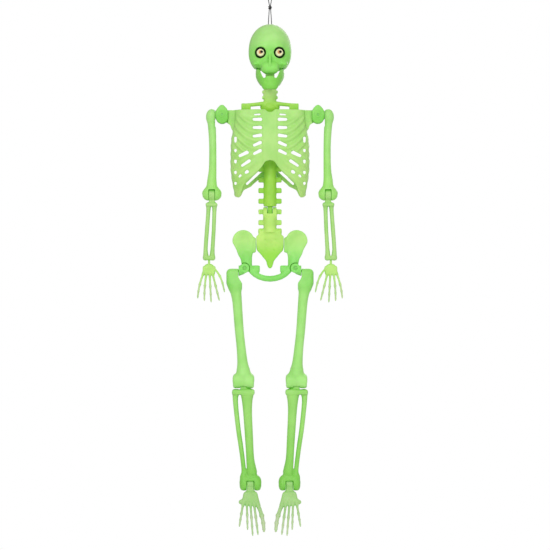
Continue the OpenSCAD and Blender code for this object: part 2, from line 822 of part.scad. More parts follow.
// Pin of the ankle.
module ankle_pin(side) {
    color(pin_grey) from_toes() sided(side)
        bar_x([ankle_x, 0, ankle_h], leg_pin_d / 2, ankle_w - 2 * pin_recess);
}

// Foot: tongue, instep, heel and five toes, pitched forward from the ankle.
module foot(side) {
    toe_r = 2.6;
    sole = ankle_h / cos(foot_pitch);
    roots = [-13.8, -6.4, 0, 6.4, 12.8];
    tips = [-24.5, -13.8, -4.6, 4.4, 18.8];
    short = [8, 2, 0, 11, 17];
    color(pale_green) from_toes() sided(side)
        translate([ankle_x, 0, ankle_h]) rotate([-foot_pitch, 0, 0]) difference() {
            union() {
                bar_x([0, 0, 0], ankle_r - tongue_shrink, ankle_tongue_w);
                block([0, 0, -ankle_drop / 2], [ankle_tongue_w, 12, ankle_drop + 2]);
                block([0, 0, -ankle_drop - 11], [30, 14, 22]);
                rod([0, 4, -ankle_drop - 10], [0, 22, -ankle_drop - 6], 8, 7);
                for (i = [0 : 4])
                    digit([
                        [roots[i], 0, -ankle_drop - 21],
                        [(roots[i] + tips[i]) / 2, -2, -sole * 0.72],
                        [tips[i], 0, -sole + toe_r * 0.72 + short[i]]
                    ], i == 0 ? toe_r + 1 : toe_r);
            }
            bar_x([0, 0, 0], leg_bore_r, 40);
        }
}

module eye_left() { eye(LEFT); }
module eye_right() { eye(RIGHT); }
module eye_rim_left() { eye_rim(LEFT); }
module eye_rim_right() { eye_rim(RIGHT); }
module shoulder_knuckle_left() { shoulder_knuckle(LEFT); }
module shoulder_knuckle_right() { shoulder_knuckle(RIGHT); }
module shoulder_pin_left() { shoulder_pin(LEFT); }
module shoulder_pin_right() { shoulder_pin(RIGHT); }
module arm_pin_left() { arm_pin(LEFT); }
module arm_pin_right() { arm_pin(RIGHT); }
module humerus_left() { humerus(LEFT); }
module humerus_right() { humerus(RIGHT); }
module elbow_pin_left() { elbow_pin(LEFT); }
module elbow_pin_right() { elbow_pin(RIGHT); }
module forearm_left() { forearm(LEFT); }
module forearm_right() { forearm(RIGHT); }
module hand_left() { hand(LEFT); }
module hand_right() { hand(RIGHT); }
module hip_link_left() { hip_link(LEFT); }
module hip_link_right() { hip_link(RIGHT); }
module hip_pin_left() { hip_pin(LEFT); }
module hip_pin_right() { hip_pin(RIGHT); }
module leg_pin_left() { leg_pin(LEFT); }
module leg_pin_right() { leg_pin(RIGHT); }
module femur_left() { femur(LEFT); }
module femur_right() { femur(RIGHT); }
module knee_pin_left() { knee_pin(LEFT); }
module knee_pin_right() { knee_pin(RIGHT); }
module shin_left() { shin(LEFT); }
module shin_right() { shin(RIGHT); }
module ankle_pin_left() { ankle_pin(LEFT); }
module ankle_pin_right() { ankle_pin(RIGHT); }
module foot_left() { foot(LEFT); }
module foot_right() { foot(RIGHT); }

skull_front();
skull_back();
eye_left();
eye_right();
eye_rim_left();
eye_rim_right();
jaw_pins();
neck_washer();
hanging_cord();
mandible();
upper_spine();
rib_cage_front();
rib_cage_back();
lumbar_spine();
pelvis();
waist_pin();
shoulder_knuckle_left();
shoulder_knuckle_right();
shoulder_pin_left();
shoulder_pin_right();
arm_pin_left();
arm_pin_right();
humerus_left();
humerus_right();
elbow_pin_left();
elbow_pin_right();
forearm_left();
forearm_right();
hand_left();
hand_right();
hip_link_left();
hip_link_right();
hip_pin_left();
hip_pin_right();
leg_pin_left();
leg_pin_right();
femur_left();
femur_right();
knee_pin_left();
knee_pin_right();
shin_left();
shin_right();
ankle_pin_left();
ankle_pin_right();
foot_left();
foot_right();
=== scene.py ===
import json
from functools import reduce
from math import cos, pi, radians, sin, tau

import bpy
import numpy as np
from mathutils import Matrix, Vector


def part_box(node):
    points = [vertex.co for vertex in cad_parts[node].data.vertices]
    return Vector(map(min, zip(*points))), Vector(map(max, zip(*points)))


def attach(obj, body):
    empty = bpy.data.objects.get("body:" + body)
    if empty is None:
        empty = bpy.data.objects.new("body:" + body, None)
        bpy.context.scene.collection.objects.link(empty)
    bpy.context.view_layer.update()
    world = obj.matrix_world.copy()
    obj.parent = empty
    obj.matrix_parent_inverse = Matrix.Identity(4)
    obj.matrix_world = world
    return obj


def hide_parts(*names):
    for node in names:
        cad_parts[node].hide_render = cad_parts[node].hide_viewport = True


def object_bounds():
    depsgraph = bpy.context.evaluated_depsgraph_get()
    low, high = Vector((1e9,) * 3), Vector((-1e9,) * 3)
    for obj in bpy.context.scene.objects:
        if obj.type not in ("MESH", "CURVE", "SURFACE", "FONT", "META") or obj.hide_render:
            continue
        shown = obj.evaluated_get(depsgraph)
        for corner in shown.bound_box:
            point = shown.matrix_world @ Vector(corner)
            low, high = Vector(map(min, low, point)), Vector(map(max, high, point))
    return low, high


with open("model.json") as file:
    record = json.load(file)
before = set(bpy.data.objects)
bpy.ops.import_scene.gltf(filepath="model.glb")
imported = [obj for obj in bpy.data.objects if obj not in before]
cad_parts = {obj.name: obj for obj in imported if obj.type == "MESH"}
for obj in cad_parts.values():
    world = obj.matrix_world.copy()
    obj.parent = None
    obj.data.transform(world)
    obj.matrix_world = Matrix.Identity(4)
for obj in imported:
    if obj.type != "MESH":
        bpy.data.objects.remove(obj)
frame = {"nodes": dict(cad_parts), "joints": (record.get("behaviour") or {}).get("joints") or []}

import openvdb
from mathutils import Vector

cad_low, cad_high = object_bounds()
scene = bpy.context.scene

# Shapes are in millimetres: x to the figure's left, y to its back, z above the toe tips.
MM = 1000.0
TOES = cad_low.z * MM


def pivot(joint):
    """The place of a joint."""
    x, y, z = next(j["pos_m"] for j in frame["joints"] if j["name"] == joint)
    return x * MM, y * MM, z * MM - TOES


def room(*nodes, margin):
    """The lowest and highest corner round these CAD nodes."""
    low = np.min([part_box(node)[0] for node in nodes], axis=0) * MM - margin
    high = np.max([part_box(node)[1] for node in nodes], axis=0) * MM + margin
    return low - (0, 0, TOES), high - (0, 0, TOES)


JAW = pivot("jaw_hinge")
WAIST = pivot("waist_bend")
SHOULDER = pivot("shoulder_raise_left")
ARM = pivot("shoulder_swing_left")
ELBOW = pivot("elbow_bend_left")
WRIST = pivot("wrist_turn_left")
HIP = pivot("hip_spread_left")
LEG = pivot("hip_swing_left")
KNEE = pivot("knee_bend_left")
ANKLE = pivot("ankle_bend_left")
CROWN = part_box("skull_back")[1].z * MM - TOES
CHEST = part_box("rib_cage_front")[1].z * MM - TOES
CHEST_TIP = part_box("rib_cage_front")[0].z * MM - TOES
# The camera's distance, its height above the toe tips and the height that fills the frame.
VIEW_FAR = 3000.0
VIEW_UP = 456.3
VIEW_TALL = 975.4
# Radii of the pin holes, and a length that runs through any piece.
BORE = 2.1
LEG_BORE = 2.6
THROUGH = 60


# -- Distance fields: negative inside the plastic, positive outside --

def length(*parts):
    return np.sqrt(sum(part * part for part in parts))


def join(a, b, soft=1.0):
    """Both shapes, with a fillet about as wide as soft."""
    mix = np.clip(0.5 + 0.5 * (b - a) / soft, 0, 1)
    return b + (a - b) * mix - soft * mix * (1 - mix)


def both(a, b, soft=0.6):
    """What the two shapes share."""
    return -join(-a, -b, soft)


def cut(a, b, soft=0.6):
    """Shape a without shape b."""
    return -join(-a, b, soft)


def ramp(value, low, high):
    """0 below low, 1 above high, smooth between."""
    t = np.clip((value - low) / (high - low), 0, 1)
    return t * t * (3 - 2 * t)


def curve(t, *knots):
    """A smooth curve through (spot, value) knots, level beyond its ends, as exact as t is."""
    spot, value = np.array(sorted(knots), float).T
    slope = np.gradient(value, spot)
    held = np.clip(t, spot[0], spot[-1])
    i = np.clip(np.searchsorted(spot, held, side="right") - 1, 0, len(spot) - 2)
    wide = spot[i + 1] - spot[i]
    u = (held - spot[i]) / wide
    ends = value[i] * (1 + 2 * u) * (1 - u) ** 2 + value[i + 1] * u * u * (3 - 2 * u)
    bend = wide * u * (1 - u) * (slope[i] * (1 - u) - slope[i + 1] * u)
    return (ends + bend).astype(t.dtype)


def rounded(side, end, edge):
    """What lies inside both fields, with rounded edges between them."""
    corner = length(np.maximum(side, 0), np.maximum(end, 0))
    return corner + np.minimum(np.maximum(side, end), 0) - edge


def egg(p, centre, radii):
    """A ball stretched to three radii."""
    q = [(p[i] - centre[i]) / radii[i] for i in range(3)]
    near = length(*q)
    far = length(*[q[i] / radii[i] for i in range(3)]) + 1e-6
    return near * (near - 1) / far


def limb(p, *points, soft=0, fine=1):
    """A bone through (x, y, z, radius) points, made fine times as many on smooth curves."""
    if fine > 1:
        run = np.arange(len(points))
        places = np.linspace(0, len(points) - 1, (len(points) - 1) * fine + 1)
        points = list(zip(*[curve(places, *zip(run, track)) for track in zip(*points)]))

    def part(a, b):
        d = [b[i] - a[i] for i in range(3)]
        t = sum((p[i] - a[i]) * d[i] for i in range(3)) / sum(v * v for v in d)
        t = np.clip(t, 0, 1)
        return length(*[p[i] - a[i] - t * d[i] for i in range(3)]) - a[3] - (b[3] - a[3]) * t

    parts = (part(a, b) for a, b in zip(points, points[1:]))
    return reduce(lambda a, b: join(a, b, soft) if soft else np.minimum(a, b), parts)


def slab(p, centre, size, edge=1.0):
    """A box with rounded edges."""
    q = [np.abs(p[i] - centre[i]) - size[i] / 2 + edge for i in range(3)]
    outside = length(*[np.maximum(v, 0) for v in q])
    return outside + np.minimum(np.maximum(np.maximum(q[0], q[1]), q[2]), 0) - edge


def drum(p, axis, centre, radius, long, edge=0.6):
    """A round bar along the axis 0, 1 or 2, with rounded ends."""
    across = [i for i in range(3) if i != axis]
    side = length(*[p[i] - centre[i] for i in across]) - radius + edge
    return rounded(side, np.abs(p[axis] - centre[axis]) - long / 2 + edge, edge)


def plate(flat, across, half, edge=1.0):
    """A flat outline field given a thickness of twice half, with rounded edges."""
    return rounded(flat + edge, np.abs(across) - half + edge, edge)


def bored(form, p, axis, centre, radius, long=THROUGH):
    """The form with a pin's hole along the axis 0, 1 or 2."""
    return cut(form, drum(p, axis, centre, radius, long, 0.1), 0.3)


def pocket(form, p, centre, size):
    """The form with a box cut out of it."""
    return cut(form, slab(p, centre, size, 0.2), 0.3)


def mirrored(p):
    """The same points with both sides folded onto the left one."""
    return np.abs(p[0]), p[1], p[2]


def outline(p, *points, soft=0):
    """A limb through (x, z, radius) points that runs through the whole depth."""
    flat = p[0], p[1] * 0, p[2]
    return limb(flat, *[(x, 0, z, radius) for x, z, radius in points], soft=soft)


# -- Meshes --

def surface(shape, low, high, step):
    """The points, in metres, and the four-sided faces of a field's surface inside the box."""
    low = np.array(low, float)
    counts = np.ceil((np.array(high) - low) / step).astype(int) + 1
    axes = [(low[i] + step * np.arange(counts[i])).astype(np.float32) for i in range(3)]
    p = (axes[0][:, None, None], axes[1][None, :, None], axes[2][None, None, :])
    field = np.broadcast_to(shape(p), counts)
    reach = 3 * step
    field = np.clip(field, -reach, reach).astype(np.float32)
    field = np.pad(field[1:-1, 1:-1, 1:-1], 1, constant_values=reach)
    grid = openvdb.FloatGrid(background=reach)
    grid.copyFromArray(np.ascontiguousarray(field))
    points, quads = grid.convertToQuads(0.0)
    return (points * step + low + (0, 0, TOES)) / MM, quads[:, ::-1].tolist()


def mesh_from(name, points, faces):
    """A smooth-shaded mesh."""
    mesh = bpy.data.meshes.new(name)
    mesh.from_pydata(points.tolist(), [], faces)
    mesh.polygons.foreach_set("use_smooth", [True] * len(mesh.polygons))
    mesh.validate()
    mesh.update()
    return mesh


def put(name, data):
    """A new object in the scene."""
    thing = bpy.data.objects.new(name, data)
    scene.collection.objects.link(thing)
    return thing


def place(mesh, body, node, material, slot):
    """Puts the mesh in the scene as the piece that stands for a CAD node."""
    piece = put(mesh.name, mesh)
    mesh.materials.append(material)
    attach(piece, body)
    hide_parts(node)


def build(name, shape, body, tone, step=0.8, margin=4.0):
    """One piece of green plastic from its field, whose function has the CAD node's name."""
    node = shape.__name__
    mesh = mesh_from(name, *surface(shape, *room(node, margin=margin), step))
    place(mesh, body, node, green[tone], "glow_plastic")


def build_pair(name, shape, body, tone, step=0.7, margin=4.0):
    """The left piece from its field, and the right one as its mirror image."""
    node = shape.__name__
    points, faces = surface(shape, *room(node + "_left", margin=margin), step)
    left = mesh_from(name + "_left", points, faces)
    right = mesh_from(name + "_right", points * (-1, 1, 1), [face[::-1] for face in faces])
    for mesh, side in ((left, "_left"), (right, "_right")):
        place(mesh, body + side, node + side, green[tone], "glow_plastic")


# -- Materials --

def srgb(*steps):
    """Red, green and blue in 0 to 255 steps as linear light."""
    shares = [step / 255 for step in steps]
    return (*[v / 12.92 if v <= 0.04045 else ((v + 0.055) / 1.055) ** 2.4 for v in shares], 1.0)


class Nodes:
    """Short calls for the shader nodes of one material."""

    def __init__(self, name):
        self.material = bpy.data.materials.new(name)
        self.material.use_nodes = True
        self.tree = self.material.node_tree
        self.shader = self.tree.nodes["Principled BSDF"]
        self.place = self.add("ShaderNodeTexCoord").outputs["Object"]

    def add(self, kind, sockets={}, **settings):
        node = self.tree.nodes.new(kind)
        for key, value in settings.items():
            setattr(node, key, value)
        for socket, value in sockets.items():
            node.inputs[socket].default_value = value
        return node

    def link(self, source, target):
        self.tree.links.new(source, target)

    def noise(self, scale, detail=2.0):
        node = self.add("ShaderNodeTexNoise", {"Scale": scale, "Detail": detail})
        self.link(self.place, node.inputs["Vector"])
        return node.outputs["Fac"]

    def spread(self, value, low, high, to_low=0.0, to_high=1.0):
        """value from low to high becomes to_low to to_high, and is held beyond them."""
        ends = {"From Min": low, "From Max": high, "To Min": to_low, "To Max": to_high}
        node = self.add("ShaderNodeMapRange", ends, interpolation_type="SMOOTHSTEP")
        self.link(value, node.inputs["Value"])
        return node.outputs["Result"]

    def mix(self, share, a, b):
        """The colour a, turning into b as share goes from 0 to 1."""
        node = self.add("ShaderNodeMix", data_type="RGBA")
        self.link(share, node.inputs["Factor"])
        for socket, colour in ((node.inputs[6], a), (node.inputs[7], b)):
            if isinstance(colour, tuple):
                socket.default_value = colour
            else:
                self.link(colour, socket)
        return node.outputs[2]

    def bump(self, height, strength, depth):
        node = self.add("ShaderNodeBump", {"Strength": strength, "Distance": depth})
        self.link(height, node.inputs["Height"])
        self.drive("Normal", node.outputs["Normal"])

    def grain(self, scale, detail=2.0, low=0.3, high=0.7, to_low=0.0, to_high=1.0):
        """Noise stretched from low to high onto to_low to to_high."""
        return self.spread(self.noise(scale, detail), low, high, to_low, to_high)

    def drive(self, socket, source):
        self.link(source, self.shader.inputs[socket])

    def hold(self, values):
        for socket, value in values.items():
            self.shader.inputs[socket].default_value = value


# The painted grey shade at the plastic's grazing rims, the painted deeper green shade in its hollows
# and how wide a hollow may be for that shade, in metres.
RIM_SHADE = srgb(146, 172, 112)
SHADE = srgb(92, 182, 44)
HOLLOW_SHADE_REACH = 0.016


def glow_plastic(name, upper, lower, high, low):
    """Green plastic whose tone runs from upper at the height high to lower at the height low, as
    painted light and shade.

    Painted shade deepens it in hollows and greys it at its rims, a faint painted glow lights it, and
    it has a fine moulded skin.
    """
    n = Nodes(name)
    split = n.add("ShaderNodeSeparateXYZ")
    n.link(n.place, split.inputs[0])
    # Painted light and shade: the tone lightens or darkens with height.
    rise = n.spread(split.outputs["Z"], (low + TOES) / MM, (high + TOES) / MM)
    tone = n.mix(rise, srgb(*lower), srgb(*upper))
    tone = n.mix(n.grain(34, 3, 0.35, 0.7, to_high=0.22), tone, SHADE)
    # Painted shade: the tone turns deeper green where other surfaces close it in.
    hollow = n.add("ShaderNodeAmbientOcclusion", {"Distance": HOLLOW_SHADE_REACH}, samples=6)
    tone = n.mix(n.spread(hollow.outputs["AO"], 0.35, 0.95, 0.8, 0.0), tone, SHADE)
    # Painted shade: the tone greys where the surface turns away from the camera, at its rims.
    facing = n.add("ShaderNodeLayerWeight", {"Blend": 0.5})
    tone = n.mix(n.spread(facing.outputs["Facing"], 0.62, 0.98, 0.0, 0.72), tone, RIM_SHADE)
    n.drive("Base Color", tone)
    # A faint painted glow: the plastic shines its own tone, painted shade included.
    n.drive("Emission Color", tone)
    n.hold({"Emission Strength": 0.12, "Subsurface Weight": 0.25, "Subsurface Scale": 0.004,
            "Subsurface Radius": (0.5, 1.0, 0.25), "Specular IOR Level": 0.35})
    n.drive("Roughness", n.grain(210, to_low=0.40, to_high=0.55))
    n.bump(n.noise(700, 3), 0.12, 0.0003)
    return n.material


def pin_plastic():
    """The darker green of the pins and the washer."""
    n = Nodes("pin_plastic")
    n.drive("Base Color", n.mix(n.grain(260), srgb(112, 190, 84), srgb(128, 204, 98)))
    n.drive("Roughness", n.grain(500, to_low=0.35, to_high=0.5))
    n.bump(n.noise(1500), 0.15, 0.0001)
    return n.material


# Iris and pupil: x and z off the eye's centre, and the soft edge's start and end in metres.
IRIS, IRIS_EDGE = (-0.1, 0.5), (0.0022, 0.0043)
PUPIL, PUPIL_EDGE = (1.9, 1.0), (0.0022, 0.0029)


def eye_paint(name, x, z):
    """A cream eyeball with a brown iris and a black pupil."""
    n = Nodes(name)
    split = n.add("ShaderNodeSeparateXYZ")
    n.link(n.place, split.inputs[0])

    def away(dx, dz):
        """A point's distance from the spot dx, dz off the eye's centre, seen from the front."""
        parts = []
        for output, middle in (("X", x + dx), ("Z", z + TOES + dz)):
            less = n.add("ShaderNodeMath", {1: middle / MM}, operation="SUBTRACT")
            n.link(split.outputs[output], less.inputs[0])
            parts.append(less.outputs[0])
        flat = n.add("ShaderNodeCombineXYZ")
        n.link(parts[0], flat.inputs["X"])
        n.link(parts[1], flat.inputs["Z"])
        size = n.add("ShaderNodeVectorMath", operation="LENGTH")
        n.link(flat.outputs[0], size.inputs[0])
        return size.outputs["Value"]

    stain = n.grain(300, 3, 0.4, 0.75, to_high=0.5)
    ball = n.mix(stain, srgb(252, 246, 204), srgb(236, 220, 150))
    iris = n.mix(n.grain(900, 4, 0.35, 0.65), srgb(176, 112, 50), srgb(214, 158, 90))
    tone = n.mix(n.spread(away(*IRIS), *IRIS_EDGE), iris, ball)
    tone = n.mix(n.spread(away(*PUPIL), *PUPIL_EDGE), srgb(20, 10, 4), tone)
    n.drive("Base Color", tone)
    n.hold({"Roughness": 0.16, "Specular IOR Level": 0.25})
    n.bump(n.noise(420), 0.04, 0.0001)
    return n.material


def eye_black():
    """The matt near-black of the rings round the eyes: the inserts' black rims, with the painted
    shade of the deep sockets.
    """
    n = Nodes("eye_black")
    n.drive("Base Color", n.mix(n.grain(400, 3, 0.35), srgb(2, 8, 2), srgb(8, 18, 4)))
    n.drive("Roughness", n.grain(800, to_low=0.55, to_high=0.75))
    n.hold({"Specular IOR Level": 0.12})
    n.bump(n.noise(1200, 3), 0.2, 0.0001)
    return n.material


def cord_fibre():
    """Dark grey yarn with fine fibres."""
    n = Nodes("cord")
    wave = n.add("ShaderNodeTexWave", {"Scale": 900, "Distortion": 1.5})
    n.link(n.place, wave.inputs["Vector"])
    n.drive("Base Color", n.mix(wave.outputs["Fac"], srgb(34, 34, 36), srgb(84, 82, 84)))
    n.hold({"Roughness": 0.8})
    n.bump(wave.outputs["Fac"], 0.4, 0.0001)
    return n.material


# -- Skull and jaw --

SEAM_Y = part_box("skull_back")[0].y * MM
NECK_Y = pivot("neck_turn")[1]
# The eyes sit a little deeper and lower than their plain frame parts.
EYE_SHIFT = np.array((0, 2, -3.5))
EYE_LOW, EYE_HIGH = [corner + EYE_SHIFT for corner in room("eye_rim_left", margin=0)]
EYE = (EYE_LOW + EYE_HIGH) / 2
RING_R = (EYE_HIGH[0] - EYE_LOW[0]) / 2
RING_FRONT = EYE_LOW[1] + 1.0
SKULL_WALL = 2.6
JAW_WALL = 5.5


def skull_outside(p):
    """The head's skin, with z counted from the crown."""
    side = mirrored(p)
    head = egg(p, (0, 2, -43), (37.4, 46, 43.3))
    face = egg(p, (0, -8, -55), (37.2, 33, 37))
    form = join(head, face, 5)
    form = both(form, -82 - p[2], 4)
    # Hollow round each eye, below a heavy brow.
    form = cut(form, egg(side, (EYE[0] - 1, -53.5, -57), (15, 11.5, 11)), 7)
    form = join(form, egg(p, (0, -37, -43), (21, 5, 5)), 8)
    # Upper jaw, cheek bones, and the nose with a groove on each side.
    form = join(form, egg(p, (0, -33, -80.5), (16.6, 14.5, 12.6)), 5)
    form = join(form, egg(side, (24.5, -26.5, -73), (6.5, 8, 3.8)), 6)
    form = join(form, limb(p, (0, -40, -55, 2.2), (0, -46, -69, 2.1), (0, -47.2, -77, 2.4)), 2)
    form = cut(form, limb(side, (4.4, -46, -62, 0.8), (4.8, -48.6, -75, 1.9)), 1.5)
    # Under the cheek bone.
    return cut(form, egg(side, (20.5, -38, -80.5), (6, 10, 4.6)), 3)


def skull(p):
    """The whole shell of the head, before it is split in two."""
    p = (p[0], p[1], p[2] - CROWN)
    side = mirrored(p)
    jaw_z = JAW[2] - CROWN
    skin = skull_outside(p)
    form = both(skin, -(skin + SKULL_WALL), 0.8)
    # The neck's boss and web, and the cheek walls that hold the jaw's pins.
    form = join(form, drum(p, 2, (0, NECK_Y, -74.5), 12, 14), 1.5)
    for wall in (slab(p, (0, NECK_Y - 2, -74.5), (36, 12, 12.6)),
                 drum(side, 0, (15.4, JAW[1], jaw_z), 5, 5),
                 slab(side, (15.4, JAW[1] + 2, jaw_z - 6), (5, 8, 16)),
                 drum(side, 0, (28.8, JAW[1], jaw_z), 5, 7.8)):
        form = join(form, wall, 1)
    # Room for the neck, the jaw's arms and pins, the eyes and the cord's two strands.
    form = cut(form, drum(p, 2, (0, NECK_Y, -70), 8.3, THROUGH))
    form = cut(form, slab(side, (21.5, -3, -81), (6.3, 38, 60), 1.2))
    form = bored(form, p, 0, (0, JAW[1], jaw_z), BORE, 58)
    form = cut(form, drum(side, 1, (EYE[0], EYE[1] - 6, EYE[2] - CROWN), RING_R + 0.25, 34), 0.5)
    return cut(form, drum(side, 2, (3, 0, 0), 1.3, 16, 0.2), 0.5)


def skull_front(p):
    return both(skull(p), p[1] - SEAM_Y + 0.15, 0.5)


def skull_back(p):
    return both(skull(p), SEAM_Y + 0.02 - p[1], 0.5)


def eye_ball(p):
    ball = egg(p, (EYE[0], RING_FRONT + 7.4, EYE[2]), (8.6, 9.4, 8.6))
    return both(ball, p[1] - EYE[1] + 1.6, 0.4)


def eye_rim(p):
    """A rounded ring with an oval opening, on a cup that closes the socket."""
    x, z = p[0] - EYE[0], p[2] - EYE[2]
    outer = length(x, z) - RING_R
    ring = plate(outer, p[1] - (RING_FRONT + EYE_HIGH[1]) / 2, (EYE_HIGH[1] - RING_FRONT) / 2, 1.5)
    opening = egg(p, (EYE[0], RING_FRONT + 2.0, EYE[2]), (8.5, 9.4, 7.4))
    oval = (length(x / 7.9, z / 6.8) - 1) * 6.8
    return cut(ring, np.minimum(opening, both(oval, p[1] - EYE[1] + 1.5, 0.3)), 0.8)


def mandible(p):
    """A curved plate that narrows to the chin, hung on two upright arms."""
    side = mirrored(p)
    z = p[2] - CROWN
    half = curve(z, (-80, 25.2), (-92, 25.4), (-97, 24.6), (-103, 21.5), (-110, 16.8), (-116, 12.5),
                 (-121, 9.5))
    front = curve(z, (-84, 43), (-96, 45.5), (-108, 45), (-116, 42), (-121, 38))
    hollow_y = 4 + 20 * ramp(-98 - z, 0, 12)
    round_y = np.minimum(p[1] + hollow_y, 0) / (front - hollow_y)
    skin = (length(p[0] / half, round_y) - 1) * half * 0.9
    plain = both(skin, -(skin + JAW_WALL), 2)
    top = curve(side[0], (0, -96.2), (6, -96.4), (9, -98.8), (12, -98), (14, -94), (16, -89),
                (18, -84), (20, -82.4), (27, -82.4))
    plain = both(plain, z - top, 1.5)
    plain = both(plain, -121 + 2.6 * (p[1] + 46) / 20 - z, 3)
    plain = both(plain, p[1] + 9, 3)
    # The arms are thinner from side to side, to turn freely in the skull's slots.
    thin = ((side[0] - 21.5) * 1.95, side[1], side[2])
    arm = limb(thin, (0, JAW[1], JAW[2], 5.4), (0, -4, JAW[2] - 14, 5.6), (0, -12, CROWN - 91, 6))
    form = join(plain, arm / 1.6, 1.5)
    form = join(form, egg(p, (0, -33, CROWN - 112), (14, 11, 9)), 4)
    form = cut(form, egg(side, (9, -47.5, CROWN - 107), (5, 3.4, 3)), 3)
    # Between its sides the plate stops short of the neck that it swings towards.
    back = p[1] + 20 + 0.45 * np.maximum(-98 - z, 0) - 20 * ramp(side[0], 14.5, 18)
    form = both(form, back, 2)
    return bored(form, p, 0, (0, JAW[1], JAW[2]), BORE, 58)


# -- Column and chest --

LUG_PITCH = 18.9
LUG_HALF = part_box("lumbar_spine")[1].x * MM - 3.8
SHORT_LUG_HALF = 12.4
LUG_TALL = 9.0
COLUMN_R = 11.5


def vertebra(p, z, half=LUG_HALF):
    """The side lugs, each with a shallow dip in its faces, and the rear spine of one vertebra."""
    lugs = slab(p, (0, NECK_Y, z), (2 * half, 8.4, LUG_TALL), 2.0)
    dip = 1 - ramp(np.abs(np.abs(p[0]) - half + 5.5), 0.5, 3.5)
    lugs = lugs + 0.9 * dip * ramp(np.abs(p[1] - NECK_Y), 2.0, 4.0)
    return join(lugs, limb(p, (0, NECK_Y + 9, z, 2.6), (0, NECK_Y + 17, z - 4, 2.1)), 2)


def column(p, low, high, first):
    """The stacked vertebral bodies, a little waisted between the lugs."""
    waisted = 0.55 * np.cos((p[2] - first) * tau / LUG_PITCH)
    radial = length(p[0], p[1] - NECK_Y) - COLUMN_R - waisted * 0.6 - 0.2
    return both(radial, np.abs(p[2] - (low + high) / 2) - (high - low) / 2, 1.5)


def upper_spine(p):
    """The column from waist to neck, its post in the head and the collar bars."""
    side = mirrored(p)
    first = WAIST[2] + LUG_PITCH + 3
    neck_top = CROWN - 101
    form = column(p, first - 9.4, neck_top, first)
    form = join(form, limb(p, (0, NECK_Y, neck_top - 8, 10.8), (0, NECK_Y, neck_top, 8.0)), 3)
    form = join(form, drum(p, 2, (0, NECK_Y, CROWN - 83.2), 8, 35, 0.4), 2)
    form = join(form, drum(p, 2, (0, NECK_Y, CROWN - 83.1), 10, 2.8, 0.8), 0.5)
    form = cut(form, drum(p, 2, (0, NECK_Y, CROWN - 57), 30, 17.5, 0.2), 0.3)
    form = join(form, drum(p, 2, (0, NECK_Y, CROWN - 66), 5, 7, 0.4), 0.3)
    row = first
    while row < CHEST - 12:
        # Behind the breastbone short lugs leave the openings beside it clear.
        half = LUG_HALF if row < CHEST - 92 else SHORT_LUG_HALF
        form = join(form, vertebra(p, row, half), 1.2)
        row += LUG_PITCH
    for z in (CROWN - 119, CROWN - 129):
        form = join(form, slab(p, (0, NECK_Y, z), (28, 9, 5), 1.4), 0.8)
    # Collar: the flare of the neck, a bar to each side and its squared end.
    form = join(form, egg(p, (0, NECK_Y - 2, CHEST + 6), (17.5, 10.5, 9)), 3)
    bar = limb(side, (8, 1.5, CHEST + 12.5, 4.0), (22, -1, CHEST + 10.5, 3.3),
               (38, -0.5, CHEST + 9, 3.2))
    form = join(form, bar, 3)
    form = join(form, slab(side, (42.5, 0, CHEST + 6.2), (16.6, 9, 11.4), 1.6), 1.5)
    # The neck's round foot in the notch of the breastbone.
    form = join(form, egg(p, (0, NECK_Y - 6, CHEST + 5), (11, 9, 8.5)), 2.5)
    tongue = slab(p, (0, NECK_Y, WAIST[2] + 8), (9, 12, 14), 1)
    tongue = join(tongue, drum(p, 0, (0, NECK_Y, WAIST[2]), 8, 9, 0.8), 1)
    form = join(form, tongue, 1.0)
    return bored(form, p, 0, (0, NECK_Y, WAIST[2]), LEG_BORE)


CAGE_DEPTH = 32.0
CAGE_WALL = 3.1
SLOT_PITCH = 14.4
SLOT_SLANTS = (0, 0, 8, 25, 27)


def cage_half_width(z):
    return curve(
        z - CHEST_TIP, (0, 66), (12, 68), (24, 70.2), (45, 72.6), (75, 72.6), (98, 71.6),
        (110, 69.6), (122, 67), (130, 65.6), (151, 64.5))


def cage_wall(p):
    """The cage's smooth outer skin as a field, and how deep its surface lies below that."""
    side = mirrored(p)
    half = cage_half_width(p[2])
    depth = curve(p[2] - CHEST_TIP, (0, 28), (40, 31), (90, 31.5), (125, 28), (151, 20))
    straight = half - depth
    beyond = side[0] - straight
    wall = length(np.maximum(beyond, 0), p[1]) - depth + 3.2 * (side[0] / half) ** 2
    # How far round from the breastbone a point is: the ribs climb towards the back.
    turn = np.arctan2(np.maximum(beyond, 0), -p[1])
    round_way = np.where(
        beyond < 0, np.where(p[1] < 0, side[0], 2 * straight + pi * depth - side[0]),
        straight + depth * turn)
    climb = 34 * ramp(round_way, 26, 86) + 14 * ramp(round_way, 80, 140)
    phase = (p[2] - (CHEST - 19) - climb) * tau / SLOT_PITCH
    where = ramp(round_way, 15, 26) * np.where(
        round_way < 70, ramp(p[2] - CHEST_TIP, 62, 82), 1) * ramp(CHEST - p[2], 6, 20)
    relief = np.cos(phase) * where
    # The two lower ribs in front slope down and outwards instead.
    down = (p[2] - (CHEST_TIP + 70)) + 0.62 * (side[0] - 44)
    lower = np.cos(down * tau / 17) * ramp(side[0], 20, 32)
    lower = lower * (1 - ramp(round_way, 62, 72))
    relief = relief + lower * (1 - ramp(p[2] - CHEST_TIP, 62, 82)) * 0.8
    # The breastbone stands proud of the ribs.
    plate_rise = 0.9 * (1 - ramp(side[0], 11.4, 13.2)) * ramp(-p[1], 0, 8)
    relief = relief * (1.45 - 1.1 * ramp(round_way, 58, 78) * (1 - ramp(round_way, 88, 105)))
    return wall, relief - plate_rise


def oblong(side, x, z, long, wide, slant):
    """A tapering opening through the whole depth, slanting down outwards."""
    reach = (long - wide) / 2
    dx, dz = reach * cos(radians(slant)), -reach * sin(radians(slant))
    return outline(side, (x - dx, z - dz, wide / 2), (x + dx, z + dz, wide / 2 * 0.72))


